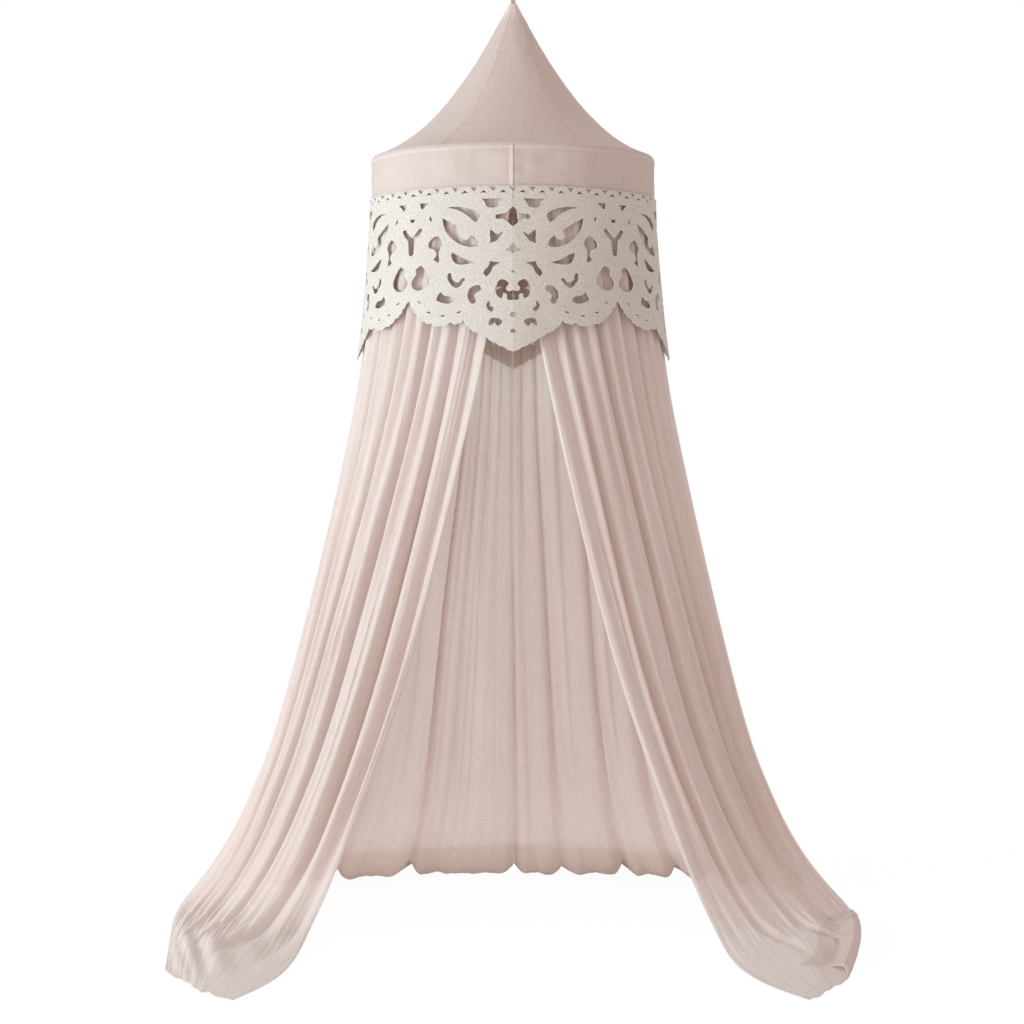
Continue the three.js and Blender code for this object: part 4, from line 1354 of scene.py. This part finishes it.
# Where each column of a drape lands, and how far it trails on from there
def drapeFoot(look, across):
    def between(openEnd, sideEnd, size):
        return [blend(openEnd[k], sideEnd[k], across) * size for k in range(2)]

    bow = cloth["bowShare"] * np.sin(math.pi * across)
    bowX, bowY = crown["halfWidth"] * bow, crown["halfDepth"] * bow * (1 if look["rear"] else -1)
    footX, footY = between(look["openFoot"], look["sideFoot"], cloth["spread"])
    footX, footY = footX + cloth["edgeClear"] + bowX, footY + bowY
    if "hem" in look:
        place, hemX, hemY = np.array(look["hem"]).T
        trailX, trailY = np.interp(across, place, hemX) - footX, np.interp(across, place, hemY) - footY
    else:
        trailX, trailY = between(look["openTrail"], look["sideTrail"], cloth["trail"])
        trailX, trailY = trailX - bowX / 2, trailY - bowY / 2
    return footX, footY, trailX, trailY


# How far the folds stand out, by how much of the cloth is left to hang
def foldReach(left):
    full = 1 - valance["drop"] / (crown["valanceTopZ"] - crown["floorZ"])
    fold = np.where(
        left > full,
        blend(cloth["gather"], cloth["hangFold"], (1 - left) / (1 - full)),
        blend(cloth["hangFold"], cloth["lowFold"], smoothStep((full - left) * cloth["foldGrowth"])))
    return blend(fold, cloth["floorFold"], smoothStep(1 - left / cloth["settleShare"]))


# The lie of the cloth without its folds: rows down the cloth, columns across it
def drapeLie(look, across):
    rear, rows = look["rear"], cloth["rows"]
    hang = crown["headingZ"] - crown["floorZ"]
    left = np.concatenate([np.linspace(1, 0.1, 120), np.linspace(0.1, 0, 50)[1:]])[:, None]
    laid = np.linspace(0, 1, 90)[1:, None]
    trimmed = blend(cloth["edgeClear" if rear else "openGap"], panelWidth - cloth["edgeClear"], across)
    angle = angleAt(ovalLength / 2 - trimmed if rear else trimmed)
    footX, footY, trailX, trailY = drapeFoot(look, across)
    reach = np.hypot(trailX, trailY)
    fold = foldReach(left)
    topInset = cloth["topInset"] + np.minimum(fold, cloth["hangFold"])
    topX = (crown["halfWidth"] - topInset) * np.sin(angle)
    topY = -(crown["halfDepth"] - topInset) * np.cos(angle)
    openness = 0 if rear else (1 - across) ** 2
    sweep = blend(fromTable(sideSweepShares, left), fromTable(openSweepShares, left), openness)
    lag = cloth["landing"] * (1 - np.exp(-left * hang / cloth["landing"]))
    x = blend(topX, footX - trailX / reach * lag, sweep)
    y = blend(topY, footY - trailY / reach * lag, sweep)
    z = crown["floorZ"] + blend(fold + 0.001, hang, left) + 0 * x
    # On the floor the folds run out, and the open edge goes straight on before it turns out to its corner
    runOut = cloth["floorFold"] * (1 - cloth["floorFade"] * smoothStep((laid - 0.05) / 0.7))
    rest = runOut + 0.0008 + cloth["puddle"] * np.sin(math.pi * laid) * np.sin(math.pi * across)
    floorX = footX + trailX * blend(laid, laid ** 3.5, openness)
    floor = np.stack([floorX, footY + trailY * laid, crown["floorZ"] + rest], -1)
    path = np.concatenate([np.stack([x, y, z], -1), floor])
    folds = np.concatenate([fold, runOut]) + 0 * across
    lefts = np.concatenate([left, -laid]) + 0 * across
    # Even steps down the cloth, then a soft landing
    values = np.concatenate([path, folds[..., None], lefts[..., None]], -1)
    even = np.zeros((rows, len(across), 5))
    lengths = np.zeros(len(across))
    for column in range(len(across)):
        run = lengthAlong(path[:, column])
        lengths[column] = run[-1]
        for part in range(5):
            steps = np.linspace(0, run[-1], rows)
            even[:, column, part] = np.interp(steps, run, values[:, column, part])
    lie = blurRows(even[..., :3], cloth["landingBlur"][rear] * rows / lengths.mean())
    lie[..., 0] *= look["side"]
    # What is left to hang falls to nothing at the landing, and what is laid then grows to one at the hem
    return lie, even[..., 3], np.maximum(even[..., 4], 0), np.maximum(-even[..., 4], 0), lengths


# How far each point of a drape stands out and leans aside in its folds, and how deep it lies in a crease
def drapeFolds(look, across, down, lie, evenFold, left, laid):
    def noise(offset, reachX, reachY, waves=7):
        return softNoise(across[None], down[:, None], look["seed"] + offset, reachX, reachY, waves)

    topPlace, lowPlace, topDepth, lowDepth = np.array(look["creases"]).T
    numbers = np.arange(len(topPlace))
    width = np.linalg.norm(np.diff(lie, axis=1), axis=2).sum(axis=1)
    grown = smoothStep(down / cloth["creaseGrown"])[:, None]
    creases = blend(topPlace, lowPlace, grown)
    fanned = look["fan"] * smoothStep(laid.mean(axis=1) / 0.8)[:, None]
    creases = creases + fanned * 4 * creases * np.maximum(1 - creases, 0) * (creases > 0)
    depths = blend(topDepth, lowDepth, grown)
    wander = noise(0, 1.5, 1.6) * cloth["creaseWander"] * smoothStep(down * 4)[:, None]
    phase, depth, spacing = np.zeros((3, *evenFold.shape))
    for row in range(len(down)):
        at = across + wander[row]
        gaps = np.diff(creases[row]) * width[row]
        near = np.minimum(np.concatenate([gaps[:1], gaps]), np.concatenate([gaps, gaps[-1:]]))
        phase[row] = np.interp(at, creases[row], numbers)
        depth[row] = np.interp(at, creases[row], depths[row])
        spacing[row] = np.interp(at, creases[row], near)
    # Broad round folds with tight creases between them
    tight = cloth["creaseTight"]
    top = math.sqrt(1 + tight ** 2)
    dip = (top - np.sqrt(np.sin(math.pi * phase) ** 2 + tight ** 2)) / (top - tight)
    pinch = depth * dip ** (1 + (look["narrow"] - 1) * smoothStep(left / 0.25))
    crest = 0.84 + 0.14 * noise(1, 3, 1.2)
    evenFold = evenFold * (1 - 0.8 * smoothStep(laid * 3) * across[None])
    height = evenFold * (crest - (crest + 1) * pinch)
    lean = look["lean"] * (1 + 0.4 * noise(5, 3, 0.8))
    shift = -lean * spacing * 0.3 * pinch * np.clip(evenFold / 0.012, 0, 1)
    # Smaller folds ride on the main ones, with pleats near the gathers and fine wrinkles down the cloth
    small = np.cos(2 * math.pi * (phase * 1.63 + 0.35 * noise(2, 2, 1.4)))
    pleats = np.cos(2 * math.pi * (across[None] * 41 + 0.6 * noise(3, 6, 2)))
    height = height + evenFold * small * cloth["smallFoldShare"] + cloth["pleat"] * pleats * left ** 3
    wrinkles = noise(4, 20, 2.6, 13) + 0.5 * noise(6, 44, 3.2, 13)
    height = height + cloth["wrinkle"] * wrinkles * np.clip(evenFold / 0.008, 0.15, 1)
    lumps = softNoise(across[None] + 0.5 * laid, laid, look["seed"] + 7, 4, 2.2)
    lumps = lumps * np.sin(math.pi * np.clip(laid, 0, 1)) * np.sin(math.pi * across)[None]
    return height + cloth["lump"] * lumps, shift, pinch


# Turns the side of the cloth back over itself: it is drawn out past a bowed fold, mirrored and lifted
def turnCorner(grid, across, laid, corner):
    along = np.array(corner["along"])
    outwards = np.array([-along[1], along[0]])
    drawn = smoothStep((laid - 0.12) / 0.2) * (1 - 0.7 * smoothStep((laid - 0.4) / 0.6))
    grid = grid.copy()
    grid[..., :2] += (corner["reach"] * across[None] ** 2 * drawn)[..., None] * outwards
    offset = grid[..., :2] - np.array(corner["place"])
    bow = corner["bulge"] * (1 - ((offset @ along - 0.2) / 0.27) ** 2)
    beyond = np.maximum(offset @ outwards - bow, 0)
    grid[..., :2] -= 2 * beyond[..., None] * outwards
    grid[..., 2] += corner["lift"] * smoothStep(beyond / 0.014) * (1 - 0.4 * smoothStep(beyond / 0.06))
    return grid


# Keeps the cloth inside the band and the valance
def clearOfCrown(grid):
    down = crown["valanceTopZ"] - grid[..., 2]
    flare = flareAt(np.clip(down / valance["drop"], 0, 1))
    margin = np.where(grid[..., 2] > crown["bandLowZ"] - 0.002, -0.0022, valance["gap"] + flare - 0.0032)
    halfWidth, halfDepth = crown["halfWidth"] + margin, crown["halfDepth"] + margin
    reach = np.hypot(grid[..., 0] / halfWidth, grid[..., 1] / halfDepth)
    held = smoothStep((valance["drop"] + 0.03 - down) / 0.03)
    grid = grid.copy()
    grid[..., :2] /= (1 + (np.maximum(reach, 1) - 1) * held)[..., None]
    return grid


# The rear widths' seam allowance, turned to the back in three steps beside the first column
def seamFlap(grid, down):
    turn = np.array([1, 0.66, 0.33]) * cloth["seamAllowance"]
    flap = np.repeat(grid[:, :1], 3, axis=1)
    flap[..., 1] += turn * smoothStep(down / 0.03)[:, None]
    flap[..., 2] += turn * smoothStep((down - 0.74) / 0.08)[:, None]
    return flap, -turn / cloth["cutWidth"]


def makeDrape(name, look):
    rear, hem = look["rear"], cloth["hemShare"]
    edge = np.array([0, hem / 3, 2 * hem / 3, hem - 0.0004])
    inner = np.linspace(hem + 0.0008, 1 - hem - 0.0008, cloth["columns"] - 8)
    across = np.concatenate([edge, inner, 1 - edge[::-1]])
    down = np.linspace(0, 1, cloth["rows"])
    lie, fold, left, laid, lengths = drapeLie(look, across)
    height, shift, pinch = drapeFolds(look, across, down, lie, fold, left, laid)
    outward = gridNormals(lie)
    if np.sum(outward[:100] * outwardFrom(lie[:100])) < 0:
        outward = -outward
    sideways = unit(np.gradient(lie, axis=1))
    grid = lie + outward * (height * (-1 if rear else 1))[..., None] + sideways * shift[..., None]
    waves = softNoise(across, 0 * across, look["seed"] + 8, 7, 1)[None] * smoothStep((laid - 0.5) / 0.5)
    grid[..., 1] += cloth["hemWave"] * waves
    grid = clearOfCrown(grid)
    if "turnedCorner" in look:
        grid = turnCorner(grid, across, laid, look["turnedCorner"])
    run = down[:, None] * lengths[None]
    fromSide = np.minimum(across, 1 - across)[None]
    inHem = np.maximum(1.0 * (fromSide < hem), lengths[None] - run < cloth["hemDepth"])
    onFloor = smoothStep(0.5 + laid * 2.5 - left * 6)
    if rear:
        # The cloth lands in lobes, drawn up at each deep crease, and the two widths meet down the middle
        grid[..., 2] += cloth["lobeRise"] * pinch * np.exp(-(left * 14) ** 2 - (laid * 7) ** 2)
        grid[..., 0] += (look["side"] * 0.0005 - grid[:, :1, 0]) * np.exp(-across / 0.03)[None]
        inHem[:, across < 0.5] = 0
        flap, beside = seamFlap(grid, down)
        grid = np.concatenate([flap, grid], axis=1)
        across = np.concatenate([beside, across])
        inHem, left, run, onFloor, pinch = [
            np.concatenate([values[:, :1].repeat(3, axis=1), values], axis=1)
            for values in (inHem, left, run, onFloor, pinch)]
    grid[..., 2] = np.maximum(grid[..., 2], crown["floorZ"] + 0.0014)
    uv = np.stack(np.broadcast_arrays(across[None] * cloth["cutWidth"], run), -1)
    thickness = blend(cloth["thickness"], cloth["hemThickness"], inHem)
    layersAndPaintedShade = look["layersAndPaintedShade"] * (1 + 0.5 * inHem)
    if rear:
        # Painted shade: the rear cloth gets more layers in its deep creases. On the floor it gets three
        # times as many, partly for the surplus folded under there and partly as painted shade on the hem
        layersAndPaintedShade = layersAndPaintedShade * (1 + 0.9 * pinch * smoothStep(left * 3)) * (1 + 2 * onFloor)
        # Painted light: fewer layers near the top, so the cloth under the valance, which lies in shade,
        # lets more light and white through
        layersAndPaintedShade = layersAndPaintedShade * (1 - 0.38 * smoothStep((left - 0.6) / 0.3))
        layersAndPaintedShade[:, :3] *= 2.5
    else:
        # Denser where gathered under the heading. Deep creases above the floor get more layers as painted
        # shade, and the cloth on the floor gets fewer as painted light
        layersAndPaintedShade = layersAndPaintedShade * (1 + 0.7 * left ** 4) * (1 + 0.4 * pinch * (1 - onFloor)) * (1 - 0.1 * onFloor)
    voile = finishes["rearVoilePaintedLight" if rear else "voile"]
    piece = shell(f"drape_voile_{name}", grid, thickness, uv, voile, layersAndPaintedShade)
    asPiece(piece, "sheer", f"drape_{name}")
    print(name, "area", round(meshArea(piece), 3), "length", round(float(lengths.mean()), 3))


for name, look in drapes.items():
    makeDrape(name, look)
print("drapes made")


# CAD pieces that stay: the rods and ferrules of the hoop

def dressHoop():
    for name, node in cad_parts.items():
        for kind in hoopLooks:
            if name.startswith(f"hoop_{kind}"):
                node.data.materials.clear()
                node.data.materials.append(finishes[kind])


dressHoop()
print("hoop dressed")
